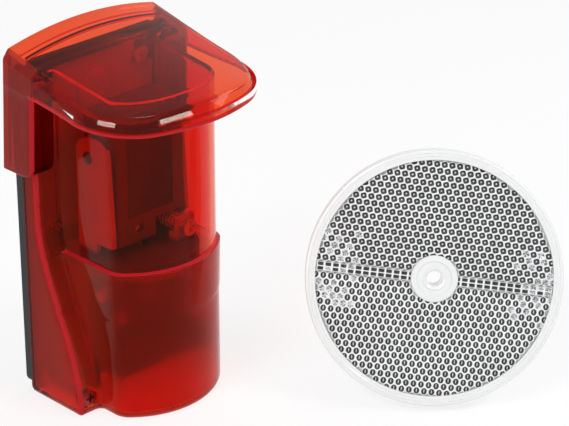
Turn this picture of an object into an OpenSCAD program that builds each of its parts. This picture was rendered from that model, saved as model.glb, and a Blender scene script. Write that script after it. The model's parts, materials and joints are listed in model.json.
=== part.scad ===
/* [Red cover] */
// Width across the shoulders
cover_w = 62.4; // [61:0.2:65]
// Height at the wall
cover_h = 117; // [115:0.5:119]
// Wall thickness of the moulding
cover_wall = 1.8; // [1.4:0.1:2]
// Fall of the top towards the front, in degrees
cover_fall = 7.5; // [5:0.5:8]
// Radius of the crown across the window's top
cover_crown_r = 150; // [130:5:160]
// Depth of the shoulder above the waist, from the wall
shoulder_d = 11.4; // [11:0.1:12]
// Depth of the shoulder at the bottom
hip_d = 29.5; // [28:0.5:31]
// Height at which the shoulder starts to sweep forward
waist_z = 66; // [64:1:72]
// Height at which the sweep ends
hip_z = 5; // [3:1:10]
// Width of the window part
window_w = 45.2; // [45:0.2:47]
// Depth of the window part, from the wall
window_d = 49.2; // [48.6:0.2:51]
// Radius of the window's front arc
window_r = 29; // [28:0.5:31]
// Radius of the window's corner arcs
window_corner_r = 11; // [10:0.5:12]
// Step from the frosted lower part to the clear upper window
window_step = 0.8; // [0.4:0.1:0.8]
// Height of the collar's upper edge
collar_z = 52.4; // [52:0.2:54]
// Height of the collar band
collar_h = 16; // [12:1:22]
// How far the collar stands proud
collar_proud = 0.5; // [0.3:0.1:0.8]

/* [Hood] */
// How far it stands out from each side of the cover at its front corners
hood_over = 2.8; // [2.4:0.1:3.4]
// How far it stands out from each side of the cover at the wall
hood_rear_over = 3.3; // [3:0.1:4]
// Depth from the wall to the front
hood_d = 59.6; // [58:0.2:62]
// Height of the roof ridge at the wall
hood_top = 124.6; // [124:0.2:128]
// Wall thickness of the hood
hood_wall = 2; // [1.6:0.1:2.1]
// Fall of the roof, in degrees
hood_fall = 13.2; // [12:0.2:14]
// Radius of the roof's crown across
crown_r = 140; // [125:1:160]
// Radius of the front arc
hood_r = 70; // [62:1:76]
// Radius of the front corners
hood_corner_r = 20; // [16:0.5:22]
// Height of the rim at the wall
rim_rear_z = 109; // [107:0.2:110]
// Height of the rim at the front
rim_front_z = 104.2; // [102:0.2:106]
// Height of the underside of the side legs
leg_z = 81; // [76:1:88]

/* [Base plate] */
// Visible thickness of the black base
base_t = 4.5; // [4.4:0.1:6]
// How much narrower than the cover each side is
base_inset = 1.5; // [1.3:0.1:1.7]
// Height of the base's lower edge
base_z = 1.9; // [1.9:0.1:3]
// Spacing of the two wall screws
wall_hole_pitch = 83.3; // [80:0.1:86]
// Diameter of the wall screw holes
wall_hole_d = 4.5; // [4:0.1:5]
// Diameter of the cable hole in the grommet
cable_d = 6; // [4:0.5:7]

/* [Optical head] */
// Distance of the pan axis from the wall
pan_d = 25; // [24.6:0.1:25.4]
// Radius of the turntable
table_r = 19.3; // [18.8:0.1:19.5]
// Distance of the tilt axis from the wall
tilt_d = 21; // [20.6:0.1:21.4]
// Height of the tilt axis
tilt_z = 86; // [84:0.5:87]
// Width of the head
head_w = 28.4; // [27:0.2:28.6]
// Height of the head
head_h = 44; // [43:0.5:46]
// Diameter of the two lenses
lens_d = 16; // [14:0.2:16.4]
// Width of the dark filter
filter_w = 19; // [18:0.5:20]
// Diameter of the tilt pins
tilt_pin_d = 3; // [2.4:0.1:3.4]
// Diameter of the tilt adjusting screw
tilt_screw_d = 3; // [2.5:0.1:3.2]
// Wire of the tilt spring
spring_wire = 0.55; // [0.45:0.05:0.65]
// Outer diameter of the tilt spring
spring_d = 6; // [5.4:0.1:6.4]
// Curls of the tilt spring
spring_curls = 6; // [4:1:7]

/* [Electronics] */
// Width of the main board
board_w = 40; // [38:0.5:40.5]
// Height of the main board
board_h = 36.5; // [36:0.5:37]
// Thickness of the circuit boards
board_t = 1.6; // [1.2:0.1:1.6]
// Poles of the terminal block
poles = 7; // [5:1:7]
// Pitch of the terminals
pole_pitch = 5; // [4.5:0.1:5.1]

/* [Reflector] */
// Diameter of the reflector
reflector_d = 84; // [80:1:90]
// Thickness of the reflector
reflector_t = 8.5; // [7:0.5:10]
// Diameter of its screw hole
reflector_hole_d = 5; // [4:0.1:5.4]
// Diameter of its centre boss
reflector_boss_d = 15; // [13:0.5:17]
// Width of the smooth rim
reflector_rim = 3.6; // [3:0.2:5]
// Place of the reflector to the right of the sensor's middle
reflector_x = 65.5; // [60:0.5:80]
// Place of the reflector in front of the wall plane
reflector_y = 95; // [94:1:130]
// Turn of the reflector's face, in degrees
reflector_turn = 44.5; // [30:0.5:60]
// Lean of the reflector's face backwards, in degrees
reflector_lean = 18; // [0:1:30]

/* [Hidden] */
$fn = 96;

// Clearances and one overrun for every cut
overrun = 0.5;
seat_gap = 0.25;
run_gap = 0.05;
mount_gap = 0.1;
side_gap = 0.3;

// Red cover, seal and base plate
gasket_t = 0.6;
gasket_w = 1.75;
cover_back = base_t + gasket_t;
cover_edge_r = 5;
cover_corner_r = 3;
sweep_steps = 20;
crown_steps = 32;
corner_steps = 10;
front_steps = 20;
upper_inset = window_step + cover_wall;
hood_w = cover_w + 2 * hood_over;
hood_rear_w = cover_w + 2 * hood_rear_over;
floor_t = 2.2;
rim_t = 1.8;
tongue_t = 1.5;
tongue_h = 2.6;
tongue_gap = 0.3;
base_top_gap = 2.4;
base_half = cover_w / 2 - base_inset;
base_top = cover_h - base_top_gap;
base_mid_z = (base_z + base_top) / 2;
cable_z = 30;
grommet_flange_d = cable_d + 6;
grommet_neck_d = cable_d + 3;
grommet_lip_t = 1.2;
seal_t = 0.8;

// Screws that hold the cover
cover_screw_d = 3;
cover_screw_head_d = 5.2;
cover_screw_head_t = 1.7;
cover_screw_inset = 4.6;
cover_screw_x = cover_w / 2 - cover_screw_inset;
upper_screw_z = 111.6;
lower_screw_z = 6;
cover_post_d = 4.8;
post_top = 7.6;
boss_gap = 0.4;
recess_w = 0.8;
recess_share = 0.62;
recess_depth = 0.8;
screw_sink = 0.4;
screw_floor = 1.2;
boss_wall = 0.9;
cover_boss_d = cover_screw_head_d + 2 * mount_gap + 2 * boss_wall;

// Hood legs and ribs
flap_gap = 2.8;
leg_corner_r = 5;
leg_rib_w = 1.6;
leg_rib_y = 3.4;
roof_rib_x = 12;
roof_rib_t = 1.4;
roof_rib_y = 2;
roof_rib_len = 20;
fascia_r = 3;

// Chassis, with its shelf and the box behind the main board
chassis_t = 1.6;
chassis_y = floor_t + 1;
chassis_front = chassis_y + chassis_t;
chassis_inset = 6;
chassis_half = cover_w / 2 - chassis_inset;
chassis_z = 4.6;
chassis_top = 111;
chassis_notch = 8.4;
chassis_hole_d = 11;
cable_window_d = 13;
box_w = 40.8;
box_wall = 1.5;
box_z = 6.4;
box_front = 24;
shelf_t = 2.2;
shelf_gap = 0.4;
shelf_hole_r = 5.1;
chassis_screw_inset = 6.2;
chassis_screw_x = chassis_half - chassis_screw_inset;
chassis_screw_upper_z = 106;
chassis_screw_z = 57.6;
chassis_screw_head_d = 5.4;
chassis_screw_head_t = 1.6;
standoff_d = 6.4;

// Turntable and yoke
table_t = 2.5;
table_z = 50;
table_top = table_z + table_t;
shelf_top = table_z - shelf_gap;
hub_r = shelf_hole_r - run_gap;
hub_bore_r = 3.2;
hub_drop = 3.9;
ring_t = 1.2;
ring_r = 7.2;
washer_t = 0.3;
cheek_t = 1.6;
cheek_gap = 0.8;
cheek_in = head_w / 2 + cheek_gap;
cheek_out = cheek_in + cheek_t;
cheek_front = 31;
cheek_back = 15.2;
cheek_top = 92.6;
cheek_r = 5.4;
cheek_lean = 1.6;
cheek_foot_front = 24;
cheek_foot_z = 57;
cheek_cut = 5;
cheek_cut_z = 61.5;

// Tilt adjuster
screw_x = 11.2;
screw_z = 57.8;
fork_front = 35;
fork_t = 1.6;
fork_w = 7.6;
fork_top = 61.6;
foot_h = 3.4;
foot_back = 31;
tilt_head_d = 5.6;
tilt_head_t = 2.2;
thread_end = 14.2;
nut_d = 5.5;
nut_w = 4;
nut_y = 20.6;
nut_play = 0.15;
nut_slot_play = 1.1;
lug_wall = 0.9;
lug_w = 5.6;
lug_z = 54.2;
lug_front = nut_y + nut_d / 2 + nut_play + lug_wall;
lug_back = nut_y - nut_d / 2 - nut_play - lug_wall;
curl_rings = 8;
curl_sides = 6;

// Optical head
head_wall = 1.2;
head_front = 31;
head_rear = 18;
head_z = 56.5;
head_top = head_z + head_h;
head_floor_z = 63.8;
bump_w = 19.4;
bump_back = 13.2;
bump_z = 65.4;
bump_top = 97;
back_t = 1.2;
lead_port_r = 3.2;
notch_x = 1.8;
filter_t = 1.2;
filter_z = 65.6;
filter_h = 32;
filter_gap = 0.1;
lens_wall = 0.7;
lens_mid_z = (head_floor_z + head_top - head_wall) / 2;
lens_pitch = lens_d + 2 * lens_wall - seat_gap;
lens_edge_t = 1.2;
lens_dome = 2.3;
lens_front = 27.2;
holder_t = 1;
holder_gap = 0.15;
head_board_front = 17.4;
diode_d = 5;
diode_h = 5.6;
diode_flange_d = 5.8;
diode_flange_t = 1;
aim_lamp_x = -4.9;
aim_lamp_z = 60.9;
aim_lamp_d = 3;
aim_lamp_len = 5.2;
head_screw_d = 1.6;
head_screw_head_d = 3.2;
head_screw_head_t = 1.2;
head_screw_x = 11.4;
head_screw_inset = 3.4;
tilt_washer_t = 0.5;
tilt_washer_d = 6.4;
pin_in = 9.7;
pin_boss = 5.2;
pin_recess = 0.3;

// Main board and what it carries
board_back = box_front + 0.3;
board_front = board_back + board_t;
board_z = box_z + 0.2;
board_screw_x = 17.4;
board_screw_inset_z = 3;
board_screw_d = 2.5;
board_screw_head_d = 4.4;
board_screw_head_t = 1.4;
board_post_d = 5.2;
terminal_d = 9.6;
terminal_h = 10;
terminal_z = 12.4;
terminal_wall = 0.9;
terminal_entry_h = 4;
terminal_screw_d = 3;
terminal_screw_t = 1;
clamp_t = 0.8;
clamp_d = 5.5;
relay_w = 15;
relay_h = 19;
relay_d = 15.4;
relay_x = -10.6;
relay_z = 22.5;
can_d = 10;
can_len = 16;
can_x = 9.5;
can_z = 30.6;
film_w = 13;
film_h = 11;
film_d = 6;
film_x = 9.5;
film_z = 18.4;
chip_w = 8;
chip_h = 5;
chip_t = 1.5;
chip_x = 0;
chip_z = 27.6;
connector_w = 7;
connector_h = 3.4;
connector_d = 4;
connector_z = 36;
trimmer_w = 7;
trimmer_t = 4;
trimmer_x = -13;
trimmer_z = 31.4;
trimmer_knob_d = 4;
trimmer_knob_t = 2.2;
trimmer_knob_base = 0.8;
trimmer_slot_w = 0.8;
switch_w = 9;
switch_h = 4;
switch_t = 3.6;
switch_x = 11.5;
switch_z = 32;
slider_w = 2;
slider_h = 2.2;
slider_out = 2.4;
slider_travel = 2.5;
slider_depth = 1.2;
power_lamp_x = 11.5;
power_lamp_z = 37.6;
power_lamp_d = 2.6;
power_lamp_len = 4;

// Leads: the points of their routes as [distance from the wall, height]
lead_r = 0.9;
lead_sides = 8;
board_lead_route = [[28, 37.9], [28, 39.6], [28, 41.6], [27.6, 43.4], [26.8, 44.9], [25.9, 46.2],
  [25.2, 47.6], [25, 49]];
head_lead_route = [[25, 49.4], [24.9, 51], [24.2, 52.5], [22.8, 53.4], [20.8, 53.7],
  [17, 53.7], [13.2, 54.1], [10.2, 55.6], [8.2, 58], [7.4, 61.4], [7.2, 66], [7.2, 72],
  [7.2, 78], [8, 82.4], [10, 85.2], [12.4, 86], [14.6, 86]];

// Reflector
reflector_back_t = 1.8;
reflector_skirt = 1.6;
reflector_lens_t = 3.4;
reflector_gap = 0.1;
reflector_lip = 0.6;

// Depth of the shoulder at a height
function sweep_share(z) = min(1, max(0, (waist_z - z) / (waist_z - hip_z)));
function eased(s) = s * s * (3 - 2 * s);
function shoulder_depth(z) = shoulder_d + (hip_d - shoulder_d) * eased(sweep_share(z));
function arc_points(middle, r, from, to, steps) =
  [for (i = [0:steps]) let (a = from + (to - from) * i / steps)
    middle + r * [cos(a), sin(a)]];
function cover_top_at(depth) = cover_h - depth * tan(cover_fall);

// Draws a side view, given as [y, z], through a width across the object
module across(width) {
  rotate([90, 0, 90]) translate([0, 0, -width / 2]) linear_extrude(width) children();
}

// Draws a front view, given as [x, z], between two distances from the wall
module between(back, front) {
  translate([0, -back, 0]) rotate([90, 0, 0]) linear_extrude(front - back) children();
}

// Round bar along Y between two distances from the wall
module bar(d, back, front) {
  translate([0, -back, 0]) rotate([90, 0, 0]) cylinder(d = d, h = front - back);
}

// Box from its middle in x, its two distances from the wall and its two heights
module block(width, back, front, low, high) {
  translate([-width / 2, -front, low]) cube([width, front - back, high - low]);
}

// Points of a front arc with its two corner arcs, from the left side to the right
function front_points(w, d, r, corner_r, inset) =
  let (corner_x = w / 2 - corner_r, arc_y = r - d, reach = r - corner_r,
    corner_y = arc_y - sqrt(reach * reach - corner_x * corner_x), lean = asin(corner_x / reach))
  concat(arc_points([-corner_x, corner_y], corner_r - inset, 180, 270 - lean, corner_steps),
    [for (i = [1:front_steps - 1]) let (a = 270 - lean + 2 * lean * i / front_steps)
      [0, arc_y] + (r - inset) * [cos(a), sin(a)]],
    arc_points([corner_x, corner_y], corner_r - inset, 270 + lean, 360, corner_steps));

module window_outline(inset) {
  half = window_w / 2 - inset;
  polygon(concat([[-half, 0]],
    front_points(window_w, window_d, window_r, window_corner_r, inset), [[half, 0]]));
}

module window_block(inset) {
  translate([0, 0, inset]) linear_extrude(collar_z - 2 * inset) window_outline(inset);
  translate([0, 0, collar_z - inset - overrun])
    linear_extrude(cover_h - collar_z + inset) window_outline(inset + window_step);
}

// Block under a roof that is crowned across and falls towards the front
module crowned(top, fall, r, inset, length) {
  spread = asin(hood_rear_w / r);
  translate([0, 0, top]) rotate([90 + fall, 0, 0]) translate([0, 0, -2 * cover_wall])
    linear_extrude(length) polygon(concat(arc_points([0, -r], r - inset, 90 - spread, 90 + spread,
      crown_steps), [[-hood_rear_w, -top], [hood_rear_w, -top]]));
}

module shoulder_block(inset) {
  low = inset;
  high = cover_h;
  across(cover_w - 2 * inset)
    polygon(concat([[0, low]],
      [for (i = [0:sweep_steps]) let (z = low + (high - low) * i / sweep_steps)
        [inset - shoulder_depth(z), z]],
      [[0, high]]));
}

module cover_side_view(inset) {
  front = window_d - window_step - inset;
  r = cover_edge_r - inset;
  middle_y = front - r;
  middle_z = cover_top_at(middle_y) - inset - r / cos(cover_fall);
  polygon(concat([[0, 0], [-window_d - window_step, 0], [-window_d - window_step, collar_z]],
    arc_points([-middle_y, middle_z], r, 180, 90 + cover_fall, 6),
    [[0, cover_h - inset]]));
}

module cover_front_view(inset) {
  half = cover_w / 2 - inset;
  r = cover_corner_r - inset / 2;
  translate([-half, inset + r]) square([2 * half, cover_h - inset - 2 * r]);
  translate([-half + r, inset]) square([2 * (half - r), cover_h - inset]);
  for (side = [-1, 1], z = [inset + r, cover_h - r])
    translate([side * (half - r), z]) circle(r);
}

module cover_body(inset) {
  intersection() {
    union() {
      shoulder_block(inset);
      intersection() {
        window_block(inset);
        crowned(cover_h, cover_fall, cover_crown_r, inset, 2 * window_d);
      }
    }
    across(cover_w) cover_side_view(inset);
    between(0, window_d) cover_front_view(inset);
  }
}

// Repeats its child at the two upper or two lower cover screws
module at_cover_screws(z) {
  for (side = [-1, 1]) translate([side * cover_screw_x, 0, z]) children();
}

function screw_seat(z) = shoulder_depth(z) - screw_sink - cover_screw_head_t;

module cross_recess(d, front, depth) {
  for (turn = [0, 90])
    rotate([0, turn, 0])
      block(d * recess_share, front - depth, front + overrun, -recess_w / 2, recess_w / 2);
}

module screw(d, head_d, head_t, back, seat) {
  difference() {
    union() {
      bar(d, back, seat + overrun / 2);
      bar(head_d, seat, seat + head_t);
    }
    cross_recess(head_d, seat + head_t, recess_depth);
  }
}

module front_cover() {
  color([0.78, 0.1, 0.05])
  difference() {
    union() {
      difference() {
        union() {
          cover_body(0);
          translate([0, 0, collar_z - collar_h])
            linear_extrude(collar_h) window_outline(-collar_proud);
        }
        cover_body(cover_wall);
      }
      for (z = [upper_screw_z, lower_screw_z]) at_cover_screws(z) {
        bar(cover_post_d, post_top + boss_gap, screw_seat(z));
        bar(cover_boss_d, max(post_top + boss_gap, screw_seat(z) - screw_floor),
          shoulder_depth(z) - screw_sink);
      }
    }
    block(cover_w + overrun, -overrun, cover_back, -overrun, cover_h + overrun);
    for (z = [upper_screw_z, lower_screw_z]) at_cover_screws(z) {
      bar(cover_screw_d + 2 * mount_gap, 0, shoulder_depth(z) + overrun);
      bar(cover_screw_head_d + 2 * mount_gap, screw_seat(z), shoulder_depth(z) + overrun);
    }
  }
}

module cover_screws_upper() {
  color("silver")
  at_cover_screws(upper_screw_z)
    screw(cover_screw_d, cover_screw_head_d, cover_screw_head_t, floor_t + side_gap,
      screw_seat(upper_screw_z));
}

module cover_screws_lower() {
  color("silver")
  at_cover_screws(lower_screw_z)
    screw(cover_screw_d, cover_screw_head_d, cover_screw_head_t, floor_t + side_gap,
      screw_seat(lower_screw_z));
}

module base_outline(half, low, high, r) {
  translate([-half, low + r]) square([2 * half, high - low - 2 * r]);
  translate([-half + r, low]) square([2 * (half - r), high - low]);
  for (side = [-1, 1], z = [low + r, high - r])
    translate([side * (half - r), z]) circle(r);
}

module tongue_outline(inset) {
  half = cover_w / 2 - cover_wall - tongue_gap - inset;
  low = cover_wall + tongue_gap + inset;
  high = cover_top_at(cover_back + tongue_h) - cover_wall - tongue_gap - inset;
  base_outline(half, low, high, cover_corner_r - cover_wall / 2);
}

module base_plate() {
  color([0.07, 0.07, 0.08])
  difference() {
    union() {
      difference() {
        between(0, base_t) base_outline(base_half, base_z, base_top, cover_corner_r);
        between(floor_t, base_t + overrun)
          base_outline(base_half - rim_t, base_z + rim_t, base_top - rim_t, cover_corner_r - rim_t / 2);
      }
      difference() {
        between(floor_t, cover_back + tongue_h) tongue_outline(0);
        between(floor_t - overrun, cover_back + tongue_h + overrun) tongue_outline(tongue_t);
      }
      for (z = [upper_screw_z, lower_screw_z]) at_cover_screws(z) bar(cover_post_d, 0, post_top);
      for (side = [-1, 1], z = [chassis_screw_z, chassis_screw_upper_z])
        translate([side * chassis_screw_x, 0, z]) bar(standoff_d, 0, chassis_y - mount_gap);
    }
    for (end = [-1, 1])
      translate([0, 0, base_mid_z + end * wall_hole_pitch / 2]) bar(wall_hole_d, -overrun, base_t);
    translate([0, 0, cable_z]) bar(grommet_neck_d, -overrun, base_t);
    for (z = [upper_screw_z, lower_screw_z])
      at_cover_screws(z) bar(cover_screw_d + 2 * run_gap, floor_t, post_top + overrun);
    for (side = [-1, 1], z = [chassis_screw_z, chassis_screw_upper_z])
      translate([side * chassis_screw_x, 0, z]) bar(board_screw_d + 2 * run_gap, seal_t, chassis_y);
    wall_seal_ring(seal_t);
  }
}

// Shallow channel in the back and the cord of foam that fills it
module wall_seal_ring(depth) {
  inner = seal_t * 3;
  between(-overrun, depth) difference() {
    base_outline(base_half - inner, base_z + inner, base_top - inner, cover_corner_r);
    base_outline(base_half - 2 * inner, base_z + 2 * inner, base_top - 2 * inner, cover_corner_r);
  }
}

module wall_seal() {
  color([0.2, 0.2, 0.21])
  intersection() {
    wall_seal_ring(seal_t);
    block(cover_w, 0, seal_t, 0, cover_h);
  }
}

module cable_grommet() {
  color([0.1, 0.1, 0.1])
  translate([0, 0, cable_z])
  difference() {
    union() {
      bar(grommet_neck_d - 2 * run_gap, 0, floor_t + grommet_lip_t);
      bar(grommet_flange_d, floor_t, floor_t + grommet_lip_t);
    }
    bar(cable_d, -overrun, base_t + grommet_lip_t);
  }
}

module cover_gasket() {
  color([0.12, 0.12, 0.13])
  between(base_t, cover_back) difference() {
    base_outline(cover_w / 2 - mount_gap, mount_gap, base_top + base_inset, cover_corner_r);
    base_outline(cover_w / 2 - gasket_w - mount_gap, gasket_w + mount_gap, base_top - mount_gap,
      cover_corner_r - gasket_w / 2);
  }
}

module hood_outline(inset, behind = 0) {
  half = hood_rear_w / 2 - inset;
  polygon(concat([[-half, behind]], behind > 0 ? [[-half, 0]] : [],
    front_points(hood_w, hood_d, hood_r, hood_corner_r, inset),
    behind > 0 ? [[half, 0]] : [], [[half, behind]]));
}

module hood_crown(inset) {
  crowned(hood_top, hood_fall, crown_r, inset, 2 * hood_d);
}

module hood_side_view(inset) {
  front = hood_d - inset;
  roof_z = hood_top - hood_d * tan(hood_fall);
  r = fascia_r - inset;
  middle_y = front - r;
  middle_z = roof_z + fascia_r * tan(hood_fall) - fascia_r / cos(hood_fall);
  low = inset > 0 ? inset : 0;
  polygon(concat([[0, rim_rear_z - low], [-front, rim_front_z - low]],
    arc_points([-middle_y, middle_z], r, 180, 90 + hood_fall, 6),
    [[0, hood_top]]));
}

module hood_shell(inset) {
  intersection() {
    translate([0, 0, rim_front_z - 2 * inset]) linear_extrude(hood_top) hood_outline(inset);
    hood_crown(inset);
    across(hood_rear_w) hood_side_view(inset);
  }
}

module hood_leg_side_view() {
  front = leg_front();
  translate([-front, leg_z + leg_corner_r]) square([front, rim_rear_z - leg_z]);
  translate([leg_corner_r - front, leg_z]) square([front - leg_corner_r, rim_rear_z - leg_z]);
  translate([leg_corner_r - front, leg_z + leg_corner_r]) circle(leg_corner_r);
}

function leg_front() = shoulder_d + side_gap + hood_wall;

module hood_legs() {
  flap_x = window_w / 2 - window_step + flap_gap;
  difference() {
    intersection() {
      translate([0, 0, leg_z]) linear_extrude(hood_top - leg_z) hood_outline(0);
      across(hood_rear_w) hood_leg_side_view();
      hood_crown(hood_wall);
    }
    intersection() {
      linear_extrude(hood_top) hood_outline(hood_wall, overrun);
      block(hood_rear_w, -overrun, shoulder_d + side_gap, 0, hood_top);
    }
    block(2 * flap_x, 0, hood_d, 0, hood_top);
    block(hood_rear_w - 2 * hood_wall, 0, hood_d, upper_screw_z - cover_screw_head_d, hood_top);
  }
}

module hood_ribs() {
  rib_in = cover_w / 2 + seat_gap;
  rib_out = (hood_rear_w - hood_wall) / 2;
  difference() {
    union() {
      for (side = [-1, 1]) {
        translate([side * (rib_in + rib_out) / 2, 0, 0])
          block(rib_out - rib_in, leg_rib_y, leg_rib_y + leg_rib_w, leg_z + leg_corner_r, hood_top);
        translate([side * roof_rib_x, 0, 0])
          block(roof_rib_t, roof_rib_y, roof_rib_y + roof_rib_len, rim_rear_z, hood_top);
      }
    }
    across(cover_w + 2 * seat_gap)
      polygon([[overrun, 0], [-hood_d, 0], [-hood_d, cover_top_at(hood_d) + seat_gap],
        [overrun, cover_top_at(-overrun) + seat_gap]]);
  }
}

module hood() {
  color([0.85, 0.16, 0.06])
  difference() {
    union() {
      difference() {
        hood_shell(0);
        hood_shell(hood_wall);
      }
      hood_legs();
      intersection() {
        hood_ribs();
        translate([0, 0, leg_z]) linear_extrude(hood_top) hood_outline(hood_wall / 2);
        hood_crown(hood_wall / 2);
      }
    }
    block(hood_rear_w + overrun, -hood_d, 0, 0, 2 * hood_top);
  }
}

// Upright plate on the base, the box behind the main board and the shelf of the turntable
module chassis_plate_outline() {
  difference() {
    translate([-chassis_half, chassis_z])
      square([2 * chassis_half, chassis_top - chassis_z]);
    for (side = [-1, 1], z = [chassis_z, chassis_top])
      translate([side * chassis_half, z]) circle(chassis_notch);
    for (end = [-1, 1])
      translate([0, base_mid_z + end * wall_hole_pitch / 2]) circle(d = chassis_hole_d);
    translate([0, cable_z]) circle(d = cable_window_d);
    for (side = [-1, 1], z = [chassis_screw_z, chassis_screw_upper_z])
      translate([side * chassis_screw_x, z]) circle(d = board_screw_d + 2 * mount_gap);
  }
}

module shelf_outline() {
  translate([0, -pan_d]) circle(table_r);
  translate([-box_w / 2, -pan_d]) square([box_w, pan_d - chassis_y]);
}

module chassis() {
  board_top = board_z + board_h;
  color([0.2, 0.14, 0.08])
  difference() {
    union() {
      between(chassis_y, chassis_front) chassis_plate_outline();
      difference() {
        block(box_w, chassis_y, box_front, box_z - box_wall, shelf_top);
        block(box_w - 2 * box_wall, chassis_front, box_front + overrun, box_z, shelf_top - shelf_t);
        translate([0, 0, cable_z]) bar(cable_window_d, 0, chassis_front + overrun);
        translate([0, 0, base_mid_z - wall_hole_pitch / 2]) bar(chassis_hole_d, 0, chassis_front + overrun);
      }
      intersection() {
        translate([0, 0, shelf_top - shelf_t]) linear_extrude(shelf_t) shelf_outline();
        block(cover_w, chassis_y, window_d, 0, cover_h);
      }
      for (side = [-1, 1], z = [board_z + board_screw_inset_z, board_top - board_screw_inset_z])
        translate([side * board_screw_x, 0, z])
          bar(board_post_d, chassis_front, board_back - mount_gap);
    }
    translate([0, -pan_d, shelf_top - shelf_t - overrun])
      cylinder(r = shelf_hole_r, h = shelf_t + 2 * overrun);
    for (side = [-1, 1], z = [board_z + board_screw_inset_z, board_top - board_screw_inset_z])
      translate([side * board_screw_x, 0, z])
        bar(board_screw_d + 2 * run_gap, chassis_front, board_back + overrun);
  }
}

module chassis_screws() {
  color("silver")
  for (side = [-1, 1], z = [chassis_screw_z, chassis_screw_upper_z])
    translate([side * chassis_screw_x, 0, z])
      screw(board_screw_d, chassis_screw_head_d, chassis_screw_head_t, seal_t + mount_gap,
        chassis_front + run_gap);
}

module main_board() {
  color([0.1, 0.3, 0.16])
  difference() {
    block(board_w, board_back, board_front, board_z, board_z + board_h);
    for (side = [-1, 1], z = [board_z + board_screw_inset_z, board_z + board_h - board_screw_inset_z])
      translate([side * board_screw_x, 0, z])
        bar(board_screw_d + 2 * mount_gap, board_back - overrun, board_front + overrun);
  }
}

module board_screws() {
  color("silver")
  for (side = [-1, 1], z = [board_z + board_screw_inset_z, board_z + board_h - board_screw_inset_z])
    translate([side * board_screw_x, 0, z])
      screw(board_screw_d, board_screw_head_d, board_screw_head_t, board_back - 3 * board_screw_d,
        board_front + run_gap);
}

function pole_x(i) = (i - (poles - 1) / 2) * pole_pitch;
function terminal_back() = board_front + mount_gap;
function terminal_front() = terminal_back() + terminal_d;

module terminal_block() {
  color([0.05, 0.28, 0.14])
  difference() {
    block(poles * pole_pitch, terminal_back(), terminal_front(), terminal_z, terminal_z + terminal_h);
    for (i = [0:poles - 1]) translate([pole_x(i), 0, 0]) {
      block(pole_pitch - 2 * terminal_wall, terminal_back() + terminal_wall,
        terminal_front() - terminal_wall, terminal_z - overrun, terminal_z + terminal_entry_h);
      translate([0, 0, terminal_z + terminal_h / 2])
        bar(terminal_screw_d + 2 * mount_gap, terminal_front() - 2 * terminal_screw_t,
          terminal_front() + overrun);
    }
  }
}

module terminal_screws() {
  color("silver")
  for (i = [0:poles - 1])
    translate([pole_x(i), 0, terminal_z + terminal_h / 2])
      difference() {
        bar(terminal_screw_d, terminal_front() - 2 * terminal_screw_t, terminal_front() - mount_gap);
        block(terminal_screw_d + overrun, terminal_front() - terminal_screw_t, terminal_front(),
          -recess_w / 2, recess_w / 2);
      }
}

module terminal_clamps() {
  color([0.75, 0.6, 0.3])
  for (i = [0:poles - 1])
    translate([pole_x(i), 0, 0])
      block(pole_pitch - 2 * terminal_wall - 2 * mount_gap, terminal_back() + terminal_wall + mount_gap,
        terminal_back() + terminal_wall + mount_gap + clamp_t,
        terminal_z, terminal_z + terminal_entry_h - mount_gap);
}

module relay() {
  color([0.1, 0.1, 0.12])
  translate([relay_x, 0, relay_z])
    block(relay_w, board_back - mount_gap - relay_d, board_back - mount_gap, -relay_h / 2 + run_gap,
      relay_h / 2);
}

module supply_capacitor() {
  color([0.1, 0.12, 0.3])
  translate([can_x, 0, can_z]) bar(can_d, board_back - mount_gap - can_len, board_back - mount_gap);
}

module film_capacitor() {
  color([0.75, 0.25, 0.1])
  translate([film_x, 0, film_z])
    block(film_w, board_back - mount_gap - film_d, board_back - mount_gap, -film_h / 2, film_h / 2);
}

module control_chip() {
  color([0.06, 0.06, 0.07])
  translate([chip_x, 0, chip_z])
    block(chip_w, board_front + mount_gap, board_front + mount_gap + chip_t, -chip_h / 2, chip_h / 2);
}

module board_connector() {
  color([0.85, 0.83, 0.75])
  translate([0, 0, connector_z])
    block(connector_w, board_front + mount_gap, board_front + mount_gap + connector_d,
      -connector_h / 2, connector_h / 2);
}

function trimmer_seat() = board_front + mount_gap + trimmer_t - trimmer_knob_t + trimmer_knob_base;

module trimmer_body() {
  color([0.15, 0.3, 0.6])
  translate([trimmer_x, 0, trimmer_z])
  difference() {
    block(trimmer_w, board_front + mount_gap, board_front + mount_gap + trimmer_t,
      -trimmer_w / 2, trimmer_w / 2);
    bar(trimmer_knob_d + 2 * run_gap, trimmer_seat(), board_front + mount_gap + trimmer_t + overrun);
  }
}

module trimmer_knob() {
  seat = trimmer_seat() + run_gap;
  color([0.95, 0.95, 0.9])
  translate([trimmer_x, 0, trimmer_z])
  difference() {
    bar(trimmer_knob_d, seat, seat + trimmer_knob_t);
    block(trimmer_knob_d * recess_share, seat + trimmer_knob_t - recess_depth,
      seat + trimmer_knob_t + overrun, -trimmer_slot_w / 2, trimmer_slot_w / 2);
    translate([trimmer_knob_d / 4, 0, 0])
      block(trimmer_knob_d / 4, seat + trimmer_knob_t - recess_depth / 2,
        seat + trimmer_knob_t + overrun, -trimmer_slot_w, trimmer_slot_w);
  }
}

module mode_switch_body() {
  color([0.12, 0.12, 0.13])
  translate([switch_x, 0, switch_z])
  difference() {
    block(switch_w, board_front + mount_gap, board_front + mount_gap + switch_t,
      -switch_h / 2, switch_h / 2);
    block(slider_w + slider_travel + 2 * side_gap, board_front + mount_gap + switch_t - slider_depth,
      board_front + mount_gap + switch_t + overrun, -slider_h / 2 - side_gap, slider_h / 2 + side_gap);
  }
}

module mode_slider() {
  seat = board_front + mount_gap + switch_t - slider_depth + side_gap;
  color([0.9, 0.9, 0.88])
  translate([switch_x - slider_travel / 2, 0, switch_z])
    block(slider_w, seat, seat + slider_out, -slider_h / 2, slider_h / 2);
}

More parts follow.
